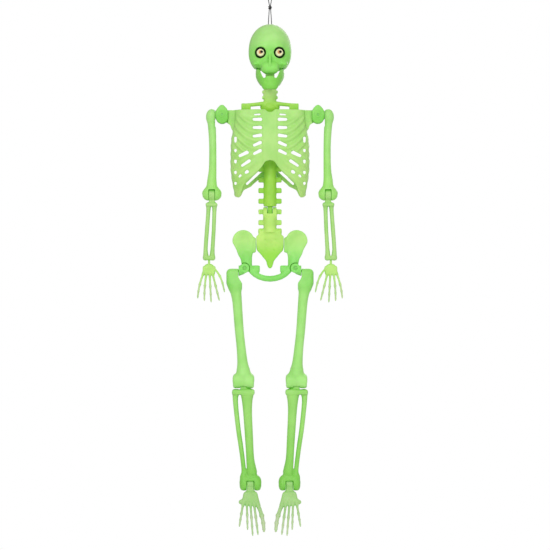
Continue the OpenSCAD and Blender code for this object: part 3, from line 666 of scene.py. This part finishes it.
def rib_openings(side):
    """Openings along the lines of sight, so that daylight shows through both walls."""
    sight = (VIEW_FAR - CAGE_DEPTH) / (VIEW_FAR + side[1])
    side = side[0] * sight, side[1], VIEW_UP + (side[2] - VIEW_UP) * sight
    first = CHEST - 19
    # Each hole has its x and z, its length and width, and its slant in degrees.
    rows = enumerate(SLOT_SLANTS)
    holes = [(22.3, first - i * SLOT_PITCH, 16.5, 5.0, slant) for i, slant in rows]
    holes.append((22.5, first + 8.4, 11, 1.9, 4))
    for i, tall in enumerate((10, 5.5, 6.5, 5.5, 5)):
        holes.append((60.5, CHEST - 55 - 19.2 * i, tall, 3.8, 90))
    holes += [(46.5, first - 61, 19, 5.4, 25), (42.5, first - 77, 19, 4.6, 34)]
    holes += [(41, first - 92.5, 7.5, 5, 34), (52.7, first - 99.5, 5.5, 3, 45)]
    return reduce(np.minimum, (oblong(side, *hole) for hole in holes))


def shoulder_plate(side):
    """The flat plate out to the ear that the shoulder knuckle turns on."""
    x, z = SHOULDER[::2]
    flat = outline(side, (56, z - 11, 19), (62, z - 6, 14), (70, z - 3.6, 11.7), (78, z - 2, 10),
                   (x, z, 9), soft=3)
    flat = both(flat, side[2] - CHEST, 0.8)
    return plate(flat, side[1], 2.9, 0.9)


def rib_cage(p):
    """The whole cage, before it is split and trimmed."""
    side = mirrored(p)
    wall, relief = cage_wall(p)
    form = both(wall + relief, -(wall + CAGE_WALL), 0.8)
    form = both(form, p[2] - CHEST, 1.0)
    form = join(form, both(shoulder_plate(side), -(wall + 3.0), 1), 2.5)
    form = cut(form, rib_openings(side) - 0.5 - 0.8 * ramp(p[1], 0, 10), 1.0)
    return bored(form, side, 1, (SHOULDER[0], 0, SHOULDER[2]), BORE)


def lower_edge(side, *knots):
    """The height of the cage's lower margin at each distance from the middle."""
    return curve(side[0], *[(x, CHEST_TIP + z) for x, z in knots])


def rib_cage_front(p):
    side = mirrored(p)
    margin = lower_edge(
        side, (0, 60), (9, 56), (13, 50), (25, 36.5), (41, 22), (48, 12), (51.5, 0), (66, 0))
    form = both(rib_cage(p), margin - p[2], 1.2)
    notch = drum(p, 1, (0, -CAGE_DEPTH, CHEST + 4), 9, 60)
    return both(cut(form, notch, 1.5), p[1] + 0.1, 0.5)


def rib_cage_back(p):
    side = mirrored(p)
    margin = lower_edge(
        side, (0, 36), (10, 34), (19, 30), (27, 23), (34, 16.5), (42, 12.5), (48, 8), (51.5, 0),
        (66, 0))
    form = rib_cage(p)
    # Shoulder blade: a thin triangle with its ridge.
    blade = outline(side, (38, CHEST - 68, 3), (41, CHEST - 40, 8),
                    (43, CHEST - 16, 11.5), soft=3)
    back = CAGE_DEPTH - 3.2 * (side[0] / 70) ** 2
    form = join(form, plate(blade, p[1] - back, 2.6, 1.2), 1.5)
    ridge = limb(side, (33, back - 1, CHEST - 27, 2.2), (56, back - 9, CHEST - 7, 3.0))
    form = join(form, ridge, 2)
    form = both(form, margin - p[2], 1.2)
    gap = outline(side, (11.5, CHEST_TIP + 49.5, 2.6), (41, CHEST_TIP + 21.5, 2.0))
    form = cut(form, both(gap, -p[1], 0.5), 1)
    for z in (CHEST - 30, CHEST - 75):
        form = join(form, slab(p, (0, CAGE_DEPTH - 5.5, z), (19, 8, 9), 1.5), 1)
    form = cut(form, slab(p, (0, NECK_Y + 11, CHEST - 60), (4.6, 16, 260), 0.2))
    return both(form, 0.02 - p[1], 0.5)


# -- Loins and pelvis --

def lumbar_spine(p):
    """Three loin vertebrae with the waist's fork, and the sacrum as a bowed shield."""
    side = mirrored(p)
    top = WAIST[2]
    form = column(p, top - 34, top - 2, top + 3)
    form = join(form, egg(p, (0, NECK_Y + 1, top - 38), (13, 9.6, 16)), 4)
    form = join(form, drum(p, 0, (0, NECK_Y, top), 11.4, 2 * COLUMN_R + 1, 1.5), 2)
    for z in (top + 3, top - 16, top - 31):
        form = join(form, vertebra(p, z), 1.5)
    half = curve(
        p[2] - top, (-30, 19), (-37, 20.5), (-41, 24.2), (-60, 24.3), (-66, 22.5), (-71, 17.8),
        (-77, 12.9), (-84.5, 7.1), (-91, 5.2), (-98, 2.2))
    slope = (side[0] - half) * 0.8
    bow = NECK_Y + 0.5 - 2.2 * (side[0] / 24) ** 2
    thick = 6.4 - 2.6 * ramp(top - p[2], 62, 98) - 0.8 * (side[0] / 24) ** 2
    shield = both(plate(slope, p[1] - bow, thick, 2.2), np.abs(p[2] - top + 63.5) - 34, 2.5)
    form = join(form, shield, 3)
    form = join(form, limb(p, (0, NECK_Y + 8, top - 40, 2.4), (0, NECK_Y + 7, top - 70, 1.8)), 2)
    for i in range(3):
        hollow = egg(side, (9.5 - 1.4 * i, NECK_Y - 7.2, top - 47 - 9.5 * i), (2.0, 1.7, 1.6))
        form = cut(form, hollow, 1.5)
    form = both(form, side[0] - 24.4, 0.4)
    form = cut(form, drum(p, 0, (0, NECK_Y, top), 8.8, 9.8, 0.2), 0.3)
    form = cut(form, slab(p, (0, NECK_Y, top + 8), (9.8, 60, 16), 0.3), 0.3)
    return bored(form, p, 0, (0, NECK_Y, top), LEG_BORE)


def pelvis(p):
    """The two dished wings, the pubic arch and the pads that the sacrum sits between."""
    side = mirrored(p)
    x, z = HIP[::2]
    flat = outline(side, (47.3, z + 48.3, 19.2), (44, z + 30, 13), (41.5, z + 14, 9.3), soft=4)
    bowl = length((side[0] - 47.3) / 17, (p[2] - z - 46) / 19)
    dish = 3.4 * (1 - ramp(bowl, 0.2, 1.0))
    wing = plate(flat, p[1] - dish * 0.35, 4.4, 2.4) + dish * 0.35 * ramp(-p[1], 0, 3)
    form = join(wing, limb(side, (41.5, 0, z + 22, 7.6), (42, 0, z + 2, 8.2)), 4)
    form = join(form, slab(side, (30.4, NECK_Y - 4, z + 41), (11, 13, 27), 3), 3)
    # Pubic arch, its inner lugs and the ear of the hip.
    arch = [(38 * cos(t), -1.5 * sin(t), z + 10 - 29 * sin(t), 5.2)
            for t in np.linspace(0.05, pi / 2, 7)]
    form = join(form, limb(side, *arch), 3)
    form = join(form, slab(side, (24.5, 0, z - 1.5), (13, 9, 12.5), 2.2), 2.5)
    form = join(form, slab(side, (24.5, -4, z - 1.5), (9, 3, 8), 1.2), 1)
    for y in (-1, 1):
        form = cut(form, drum(side, 1, (x, y * 13.4, z), 9.4, 20, 0.3), 0.4)
    form = join(form, drum(side, 1, (x, 0, z), 7, 6, 0.8), 0.4)
    near_hip = length(side[0] - x, p[2] - z) < 9.5
    form = both(form, np.where(near_hip, np.abs(p[1]) - 3.0, -9), 0.2)
    form = cut(form, slab(p, (0, NECK_Y, WAIST[2] - 50), (49.4, 14.4, 70), 0.3))
    return bored(form, side, 1, (x, 0, z), LEG_BORE)


# -- Arms --

# Width of the slot in the shoulder's and the hip's knuckles, from front to back.
SLOT_WIDE = 6.9


def shoulder_knuckle(p):
    """The domed knuckle that turns on the cage's ear and holds the arm's pin."""
    x, z = SHOULDER[::2]
    flat = outline(p, (x, z - 5, 10.9), (x, z + 5, 10.2), (x, z + 12.5, 4.6), soft=3)
    dome = 1.4 * np.clip(1 - (length(p[0] - x, p[2] - z) / 11) ** 2, 0, 1)
    form = plate(flat, np.abs(p[1]) - dome * 0.6 * ramp(np.abs(p[1]), 3, 6), 8.4, 2.4)
    form = join(form, drum(p, 0, (x + 8.5, 0, z), 7.8, 7, 0.8), 1.5)
    form = cut(form, drum(p, 1, (x, 0, z), 9.7, SLOT_WIDE, 0.2), 0.3)
    form = pocket(form, p, (x - 10, 0, z), (20, SLOT_WIDE, 44))
    form = pocket(form, p, (x - 1, 0, z + 12), (19.4, SLOT_WIDE, 24))
    form = bored(form, p, 1, (x, 0, z), BORE)
    # A stepped ring round the pin on each face.
    ring = np.abs(length(p[0] - x, p[2] - z) - 6.4) - 0.6
    form = form + 0.5 * (1 - ramp(ring, 0, 0.9)) * ramp(np.abs(p[1]), 6, 7)
    form = bored(form, p, 0, (x + 10, 0, z), BORE, 9)
    return both(form, p[0] - x - 12, 0.4)


def fork_slot(p, centre, disc, wide, opening, roof):
    """The room a tongue needs in a fork: its disc, below it, and the side it swings to.

    That side is the front for opening -1 and the back for 1, up to roof above the pin.
    """
    x, y, z = centre
    below = slab(p, (x, y, z - 20), (wide, 17, 40), 0.4)
    swing = slab(p, (x, y + opening * 20, z + roof - 30), (wide, 40, 60), 0.4)
    return np.minimum(np.minimum(drum(p, 0, centre, disc, wide, 0.2), below), swing)


def humerus(p):
    """The upper arm, with the elbow's fork at its foot."""
    face = SHOULDER[0] + 12.35
    x, z = ARM[::2]
    head = egg(p, (x + 2.3, 0, z - 2.4), (10, 9.8, 12.6))
    shaft = limb(
        p, (x + 3.6, 0, z - 8, 7.2), (x + 1.8, 0, z - 24, 6.9), (x + 0.4, -0.8, z - 55, 6.4),
        (x + 0.6, -0.8, z - 95, 6.7), (ELBOW[0], 0, ELBOW[2] + 26, 8.2),
        (ELBOW[0], 0, ELBOW[2] + 12, 9.8), fine=3)
    form = join(head, shaft, 4)
    form = both(form, face - p[0] - 60 * ramp(SHOULDER[2] - 19 - p[2], 0, 26), 0.8)
    fork = egg(p, (ELBOW[0], 0, ELBOW[2] + 1.4), (17.4, 12, 14))
    form = join(form, both(fork, ELBOW[2] - 10.6 - p[2], 2.5), 5)
    form = cut(form, fork_slot(p, ELBOW, 10.9, 11.6, -1, 9.2), 0.5)
    form = bored(form, p, 0, ELBOW, BORE, 50)
    # The long ridge of the shaft.
    ridge = np.exp(-((p[0] - x - 1) / 1.5) ** 2) * ramp(-p[1], 3, 6)
    ridge = ridge * ramp(p[2] - ELBOW[2], 20, 40)
    return bored(form - 0.4 * ridge, p, 0, (x, 0, z), BORE, 20)


def forearm(p):
    """The elbow's tongue and two slim bones between a head and a foot."""
    x, z = ELBOW[::2]
    wx, wz = WRIST[::2]
    top = z - 14
    neck = slab(p, (x, 0, z - 8), (10.8, 9.4, 16), 1.5)
    form = join(drum(p, 0, (x, 0, z), 10.2, 10.8, 1.2), neck, 1.5)
    form = join(form, slab(p, (x + 0.6, 0, top - 3.4), (20.5, 13, 6.4), 2.6), 1.5)
    for sign, mid_r in ((-1, 3.45), (1, 3.7)):
        bone = limb(
            p, (x + 0.6 + sign * 5.2, 0, top - 4, 4.6), (x + 1 + sign * 5.4, 0, top - 16, 3.6),
            (x + 2.7 + sign * 6.0, -0.6, top - 48, mid_r), (wx + sign * 6.2, 0, wz + 26, 3.6),
            (wx + sign * 5.6, 0, wz + 13, 4.9), (wx + sign * 6.0, 0, wz + 10.5, 4.6), fine=2)
        form = join(form, bone, 2)
    form = join(form, slab(p, (wx, 0, wz + 9.8), (20, 10.5, 7.2), 2.6), 3)
    form = bored(form, p, 0, (x, 0, z), BORE, 40)
    return bored(form, p, 2, (wx, 0, wz + 9), BORE, 11.5)


# The thickness of a finger or toe along it: three bones with thicker knuckles.
BEADS = ((0, 1.05), (0.18, 0.86), (0.36, 0.92), (0.43, 1.2), (0.5, 0.92), (0.64, 0.84),
         (0.71, 1.1), (0.78, 0.86), (0.93, 0.84), (1, 0.6))


def digit(p, root, tip, bow, radius, swell=1.0):
    """A finger or toe, bowed in the middle and slimmer to the tip."""
    points = []
    for t, thick in BEADS:
        at = [root[i] + (tip[i] - root[i]) * t + bow[i] * 4 * t * (1 - t) for i in range(3)]
        points.append((*at, radius * thick * (1 - 0.18 * t) * swell))
    return limb(p, *points, soft=0.8)


def hand(p):
    """The palm on its round peg, four fingers and the thumb."""
    x, z = WRIST[::2]
    palm_top, palm_low = z - 5, z - 20
    form = slab(p, (x, 0, z - 11.8), (23, 7, 15), 3)
    palm_half = curve(p[2] - z, (-21, 10), (-12, 11.6), (-4, 12.2))
    form = both(form, np.abs(p[0] - x) - palm_half, 1.5)
    form = join(form, egg(p, (x, 0, z - 4.5), (8, 3.6, 4.2)), 2)
    form = join(form, drum(p, 2, (x, 0, z + 2), 2.0, 20, 0.3), 0.3)
    roots = ((-6.8, 0), (-1.2, 0), (5.2, 0), (10.6, 1.5))
    tips = ((-18.0, -65.0), (-3.6, -68.0), (8.4, -65.5), (20.2, -61.0))
    bows = (1.2, 0.6, 0.8, 1.6)
    for (root_x, lift), (tip_x, tip_z), bow in zip(roots, tips, bows):
        root = (x + root_x, 0, palm_low + lift)
        metacarpal = limb(p, (x + root_x * 0.6, -1.2, palm_top - 3, 2.4), (*root, 2.6))
        form = join(form, metacarpal, 1.6)
        sideways = bow * (root_x > 2)
        finger = digit(p, root, (x + tip_x, 1.0, z + tip_z), (sideways, -2.6, 0), 2.05)
        form = join(form, finger, 1)
    thumb = digit(p, (x - 9, 0, z - 9), (x - 27.6, -15, z - 50), (-2.4, -4.5, 4.5), 2.0)
    return join(form, thumb, 1.6)


# -- Legs --

LINK_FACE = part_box("hip_link_left")[1].x * MM


def hip_link(p):
    """The knuckle that turns on the pelvis and holds the thigh's pin."""
    x, z = HIP[::2]
    form = limb(p, (x, 0, z, 8.6), (x + 5, 0, z - 2.8, 8.8), (x + 12, 0, LEG[2], 9))
    form = join(form, drum(p, 1, (x, 0, z), 8.5, 17.2, 1.5), 1.5)
    form = both(form, p[0] - LINK_FACE, 0.5)
    form = cut(form, drum(p, 1, (x, 0, z), 7.7, SLOT_WIDE, 0.2), 0.3)
    form = pocket(form, p, (x - 10, 0, z), (20, SLOT_WIDE, 44))
    form = pocket(form, p, (x + 2, 0, z + 12), (14, SLOT_WIDE, 20))
    form = bored(form, p, 1, (x, 0, z), LEG_BORE)
    for y in (-8.7, 8.7):
        form = cut(form, drum(p, 1, (x, y, z), 3.8, 2.2, 0.2), 0.4)
    return bored(form, p, 0, (x + 22, 0, LEG[2]), LEG_BORE, 28)


def femur(p):
    """The thigh, with the hip's block at its head and the knee's fork at its foot."""
    face = LINK_FACE + 0.6
    x, z = LEG[::2]
    kx, kz = KNEE[::2]
    block = slab(p, (face + 4.7, 0, z - 12), (33, 20, 32), 8)
    form = join(block, egg(p, (x + 1.8, 0, z - 24), (13.4, 10.4, 16)), 4)
    shaft = limb(
        p, (x + 2, 0, z - 28, 10.6), (x - 0.8, -0.8, z - 46, 8.9), (x - 2.4, -1.4, z - 62, 8.3),
        (x - 5.6, -2.0, z - 105, 7.9), (kx + 4.2, -1.4, kz + 60, 8.0),
        (kx + 1.6, -0.4, kz + 32, 9.4), (kx, 0, kz + 14, 13.2), fine=3)
    form = join(form, shaft, 4)
    # Flat behind the knee, to let the calf fold up to it.
    form = both(form, p[1] - 8.2, 2)
    form = join(form, drum(p, 0, (kx, 0, kz), 12.8, 37, 4.5), 5)
    form = join(form, slab(p, (kx, 0, kz + 3), (36.6, 19, 13), 4.5), 3)
    # The two knuckles of the knee and the shallow groove between them.
    groove = 0.7 * np.exp(-((p[0] - kx) / 4) ** 2) * (1 - ramp(p[2] - kz, 2, 12))
    form = form + groove * ramp(-p[1], 3, 9)
    form = cut(form, fork_slot(p, KNEE, 11.1, 11.8, 1, 12), 0.5)
    form = bored(form, p, 0, KNEE, LEG_BORE, 50)
    form = both(form, kz - 12.4 - p[2], 1.5)
    # The link needs the space inside the block's face.
    inner = face - 6.6 * ramp(z - 9.6 - p[2], 0, 14) - 60 * ramp(z - 30 - p[2], 0, 30)
    form = both(form, inner - p[0], 0.8)
    return bored(form, p, 0, (x, 0, z), LEG_BORE, 29.5)


def shin(p):
    """The knee's tongue, the thick and the slim bone, and the ankle's fork."""
    kx, kz = KNEE[::2]
    ax, az = ANKLE[::2]
    top = kz - 14.5
    neck = slab(p, (kx, 0, kz - 9), (11, 13.5, 16), 1.5)
    form = join(drum(p, 0, (kx, 0, kz), 10.5, 11, 1.2), neck, 1.5)
    # The flat head that both bones hang from.
    form = join(form, slab(p, (kx, -1.5, top - 4.2), (39, 17, 8.4), 2.6), 1)
    tibia = limb(
        p, (kx - 6.5, 0, top - 8, 11.5), (kx - 6.6, -0.5, top - 20, 9.4),
        (kx - 7.4, -0.8, top - 42, 7.8), (ax + 2.5, -0.8, az + 80, 7.2),
        (ax + 0.8, -0.4, az + 45, 7.4), (ax - 2, 0, az + 22, 9.6), fine=3)
    fibula = limb(
        p, (kx + 13.6, 0, top - 6, 6.0), (kx + 14.2, 0, top - 22, 4.5),
        (kx + 9.2, 0.4, top - 70, 4.2), (ax + 16.2, 0.2, az + 62, 4.2),
        (ax + 11.4, 0, az + 26, 4.6), (ax + 12, 0, az + 14, 6), fine=3)
    form = join(form, join(tibia, fibula, 2.5), 4)
    fork = join(slab(p, (ax, 0, az + 6), (31, 18, 20), 7), drum(p, 0, (ax, 0, az), 11, 32, 4), 3)
    for sign in (-1, 1):
        fork = join(fork, egg(p, (ax + sign * 12, 0, az + 1), (7.6, 11, 13.5)), 4)
    form = join(form, fork, 5)
    # The long hollow between the two bones.
    gap = outline(p, (kx + 5.8, top - 25, 1.4), (kx + 4.6, top - 36, 3.2), (ax + 10.2, az + 62, 1.9),
                  (ax + 7.4, az + 28, 0.8))
    form = cut(form, gap, 0.8)
    form = cut(form, fork_slot(p, ANKLE, 10.0, 13.6, -1, 6.6), 0.5)
    form = cut(form, slab(p, (ax, 10, az - 17), (13.6, 30, 34), 0.5), 0.5)
    form = bored(form, p, 0, ANKLE, LEG_BORE, 50)
    form = both(form, az - 11.5 - p[2], 2.5)
    return bored(form, p, 0, (kx, 0, kz), LEG_BORE, 40)


FOOT_PITCH = radians(30)


def foot(p):
    """The foot in its own frame: z along the foot, pitched forward from the ankle."""
    dy, dz = p[1] - ANKLE[1], p[2] - ANKLE[2]
    up, over = cos(FOOT_PITCH), sin(FOOT_PITCH)
    p = (p[0] - ANKLE[0], up * dy - over * dz, over * dy + up * dz)
    sole = ANKLE[2] / up
    neck = slab(p, (0, 0, -7), (12.4, 9.6, 14), 2)
    form = join(drum(p, 0, (0, 0, 0), 9.4, 12.4, 1.2), neck, 1.5)
    # Instep, heel and the outer edge of the foot.
    form = join(form, egg(p, (0, 1, -25), (13.2, 8, 14.5)), 3)
    form = join(form, limb(p, (0, 3, -22, 7), (0, 14, -20, 7.2), (0, 22, -18.5, 6.6)), 4)
    form = join(form, limb(p, (7, 0.5, -30, 5.4), (16.6, 0.5, -34, 4.0)), 2.5)
    roots = (-13.4, -6.8, -0.4, 6.0, 13.0)
    tips = ((-24.3, 8), (-13.8, 2), (-4.6, 0), (4.4, 11), (18.8, 17))
    thick = (3.5, 2.3, 2.2, 2.1, 2.2)
    for root_x, (tip_x, short), r in zip(roots, tips, thick):
        root = (root_x, -0.5, -40)
        form = join(form, limb(p, (root_x * 0.62, -1.5, -20, 4.2), (*root, r + 0.8)), 2)
        tip = (tip_x, 0, -sole + 2.2 + short)
        big = root_x == roots[0]
        bow = (-2.2 if big else 0, -2.5, 0)
        form = join(form, digit(p, root, tip, bow, r, 1.12 if big else 1.0), 1.2)
    return bored(form, p, 0, (0, 0, 0), LEG_BORE, 40)


# -- Cord --

SIDES = 8
# A direction that no part of the cord runs along.
ASIDE = (0.31, 0.95, 0.05)


def crosswise(path):
    """Two directions across the path at each point, square to each other."""
    along = np.gradient(path, axis=0)
    along /= np.linalg.norm(along, axis=1)[:, None]
    across = np.cross(along, ASIDE)
    across /= np.linalg.norm(across, axis=1)[:, None]
    return across, np.cross(along, across)


def sweep(path, radius):
    """A tube along a path of points, with closed ends."""
    across, third = crosswise(path)
    turns = np.linspace(0, tau, SIDES, endpoint=False)
    rings = [path + radius * (cos(t) * across + sin(t) * third) for t in turns]
    points = np.stack(rings, axis=1).reshape(-1, 3)
    faces = []
    for i in range(len(path) - 1):
        for k in range(SIDES):
            a, b = i * SIDES + k, i * SIDES + (k + 1) % SIDES
            faces.append((a, b, b + SIDES, a + SIDES))
    last = (len(path) - 1) * SIDES
    faces.append(tuple(range(SIDES))[::-1])
    faces.append(tuple(range(last, last + SIDES)))
    return points, faces


PLY_PITCH = 3.4
CORD_R = 0.8
STRAND_X = 3.0


def plies(path, radius):
    """Two yarns twisted round a path."""
    run = np.concatenate([[0], np.cumsum(np.linalg.norm(np.diff(path, axis=0), axis=1))])
    across, third = crosswise(path)
    yarn = radius * 0.55
    for start in (0, pi):
        turn = (start + run * tau / PLY_PITCH)[:, None]
        yield sweep(path + yarn * (np.cos(turn) * across + np.sin(turn) * third), yarn)


def hanging_cord():
    """Two strands out of the crown, a knot of two coils, the loop and a stop in each hole."""
    top = room("hanging_cord", margin=0)[1][2]
    knot = CROWN + 30
    paths = []
    t = np.linspace(0, 1, 90)[:, None]
    for sign in (-1, 1):
        start, bend, end = np.array(
            [(sign * STRAND_X, 0, CROWN - 7), (sign * 2.9, 0, CROWN + 6), (sign * 0.9, 0, knot)])
        paths.append((1 - t) ** 2 * start + 2 * t * (1 - t) * bend + t * t * end)
    coil = np.linspace(0, 3.2 * tau, 110)
    paths.append(np.stack([2.0 * np.cos(coil), 1.9 * np.sin(coil), knot - 2.4 + coil * 0.25], axis=1))
    coil = np.linspace(0, 1.6 * tau, 60)
    rise = knot + 1.6 * np.sin(coil * 0.5)
    paths.append(np.stack([2.6 * np.cos(coil), 1.2 * np.sin(coil), rise], axis=1))
    around = np.linspace(-pi / 2, 1.5 * pi, 200)
    middle = (top - CORD_R * 1.1 + knot + 2) / 2
    reach = (top - CORD_R * 1.1 - knot - 2) / 2
    slim = 0.35 + 0.65 * (0.5 + 0.5 * np.sin(around)) ** 0.6
    rise = middle + reach * np.sin(around)
    paths.append(np.stack([4.6 * np.cos(around) * slim, 0 * around, rise], axis=1))
    tubes = [tube for path in paths for tube in plies(path, CORD_R)]
    for x in (-STRAND_X, STRAND_X):
        tubes.append(sweep(np.array([(x, 0, CROWN - 9), (x, 0, CROWN - 5)]), 1.9))
    points, faces, count = [], [], 0
    for tube_points, tube_faces in tubes:
        points.append(tube_points)
        faces += [tuple(count + i for i in face) for face in tube_faces]
        count += len(tube_points)
    return mesh_from("hanging_cord", (np.concatenate(points) + (0, 0, TOES)) / MM, faces)


# -- The pieces --

# Upper and lower colour, and the heights between which one turns into the other: painted light and
# shade on one green plastic.
GREENS = {
    "skull": ((168, 219, 130), (138, 214, 98), CROWN - 22, CROWN - 58),
    "jaw": ((138, 208, 98), (126, 202, 78), CROWN - 60, CROWN - 110),
    "spine": ((190, 226, 136), (154, 206, 72), CROWN - 118, CROWN - 150),
    "cage": ((170, 216, 124), (172, 212, 120), CHEST, CHEST_TIP),
    "loins": ((184, 222, 112), (148, 212, 72), WAIST[2] - 45, WAIST[2] - 75),
    "hips": ((172, 220, 122), (134, 214, 104), HIP[2] + 55, HIP[2] + 5),
    "knuckle": ((138, 208, 98), (124, 200, 84), SHOULDER[2] + 12, SHOULDER[2] - 10),
    "arm": ((162, 216, 126), (158, 216, 112), SHOULDER[2], ELBOW[2]),
    "forearm": ((166, 208, 124), (164, 206, 120), ELBOW[2], WRIST[2]),
    "hand": ((178, 220, 118), (182, 206, 146), WRIST[2] - 16, WRIST[2] - 50),
    "thigh": ((144, 212, 108), (162, 220, 124), LEG[2] - 25, LEG[2] - 50),
    "shin": ((154, 210, 110), (126, 196, 80), KNEE[2] - 60, ANKLE[2]),
    "foot": ((158, 200, 124), (180, 198, 154), ANKLE[2] - 20, ANKLE[2] - 60),
}
green = {name: glow_plastic("glow_" + name, *tones) for name, tones in GREENS.items()}
pin_grey = pin_plastic()
dark = eye_black()

build("skull_front_shell", skull_front, "skull", "skull")
build("skull_back_shell", skull_back, "skull", "skull")
build("lower_jaw", mandible, "jaw", "jaw", step=0.6)
build("neck_and_chest_column", upper_spine, "torso", "spine")
build("rib_cage_front_shell", rib_cage_front, "torso", "cage", step=0.9, margin=5)
build("rib_cage_back_shell", rib_cage_back, "torso", "cage", step=0.9, margin=6)
build("loins_and_sacrum", lumbar_spine, "hips", "loins", step=0.7)
build("pelvis_bone", pelvis, "hips", "hips")

EYE_STEP = 0.35
for side, sign in (("left", 1), ("right", -1)):
    paint = eye_paint("eye_" + side + "_paint", sign * EYE[0], EYE[2])
    corner_low, corner_high = room("eye_left", "eye_rim_left", margin=5)
    across = sorted((sign * corner_low[0], sign * corner_high[0]))
    for node, name, shape, material, slot in (
        ("eye_", "eye_ball_", eye_ball, paint, "eye_white"),
        ("eye_rim_", "rim_", eye_rim, dark, "eye_black"),
    ):
        points, faces = surface(
            lambda p, shape=shape: shape((sign * p[0], p[1], p[2])),
            (across[0], *corner_low[1:]), (across[1], *corner_high[1:]), EYE_STEP)
        place(mesh_from(name + side, points, faces), "skull", node + side, material, slot)

build_pair("knuckle", shoulder_knuckle, "shoulder", "knuckle", step=0.5)
build_pair("upper_arm_bone", humerus, "upper_arm", "arm")
build_pair("forearm_bones", forearm, "lower_arm", "forearm", step=0.6)
build_pair("hand_bones", hand, "wrist_hand", "hand", step=0.5, margin=14)
build_pair("hip_joint_link", hip_link, "hip", "hips", step=0.5)
build_pair("thigh_bone", femur, "thigh", "thigh", step=0.8)
build_pair("shin_bones", shin, "lower_leg", "shin", step=0.8)
build_pair("foot_bones", foot, "ankle_foot", "foot", step=0.6)

place(hanging_cord(), "skull", "hanging_cord", cord_fibre(), "cord")

# The pins and the washer keep their CAD shapes.
for node in frame["nodes"].values():
    if not node.hide_render:
        node.data.materials.clear()
        node.data.materials.append(pin_grey)


# -- Floor, light and camera --

FLOOR_SIDES = 96
FLOOR_DROP = 0.3
WORLD_LIGHT = 0.54
WORLD_SEEN = 1.0
MIDDLE = (cad_low + cad_high) / 2


def floor_disc(radius, z, material):
    """A round floor at the height z in the frame, which the figure hangs above."""
    turns = np.linspace(0, tau, FLOOR_SIDES, endpoint=False)
    ring = np.stack([radius * np.cos(turns), radius * np.sin(turns), 0 * turns + z], axis=1)
    mesh = mesh_from("floor", ring, [range(FLOOR_SIDES)])
    mesh.materials.append(material)
    put("floor", mesh)


def pale_floor():
    n = Nodes("floor")
    n.drive("Base Color", n.mix(n.grain(3), (0.86, 0.86, 0.85, 1), (0.9, 0.9, 0.89, 1)))
    n.hold({"Roughness": 0.9})
    return n.material


def area_light(name, spot, size, power):
    """A round soft light at the spot, turned to the figure's middle."""
    lamp = bpy.data.lights.new(name, "AREA")
    lamp.shape, lamp.size, lamp.energy = "DISK", size, power
    light = put(name, lamp)
    light.location = spot
    light.rotation_mode = "QUATERNION"
    light.rotation_quaternion = (MIDDLE - Vector(spot)).to_track_quat("-Z", "Y")


floor_disc(1.0, cad_low.z - FLOOR_DROP, pale_floor())
area_light("key", (-0.9, -2.6, 0.7), size=1.6, power=35)
area_light("fill", (1.3, -2.2, -0.3), size=1.8, power=15)
area_light("back", (0.6, 2.4, 0.6), size=2.0, power=26)

# The camera sees a white surround, which lights the figure less than that.
world = bpy.data.worlds.new("studio")
world.use_nodes = True
scene.world = world
tree = world.node_tree
background = tree.nodes["Background"]
background.inputs["Color"].default_value = (1, 1, 1, 1)
seen = tree.nodes.new("ShaderNodeLightPath")
shown = tree.nodes.new("ShaderNodeMapRange")
shown.inputs["To Min"].default_value = WORLD_LIGHT
shown.inputs["To Max"].default_value = WORLD_SEEN
tree.links.new(seen.outputs["Is Camera Ray"], shown.inputs["Value"])
tree.links.new(shown.outputs["Result"], background.inputs["Strength"])

scene.view_settings.view_transform = "Standard"
scene.view_settings.look = "None"

# A level view from the front: the loop passes the frame's top, the toes end near its foot.
VIEW_X = 0.0089
camera = bpy.data.cameras.new("camera")
camera.sensor_width = 36
camera.lens = camera.sensor_width * VIEW_FAR / VIEW_TALL
viewer = put("camera", camera)
viewer.location = (VIEW_X, -VIEW_FAR / MM, cad_low.z + VIEW_UP / MM)
viewer.rotation_euler = (pi / 2, 0, 0)
scene.camera = viewer
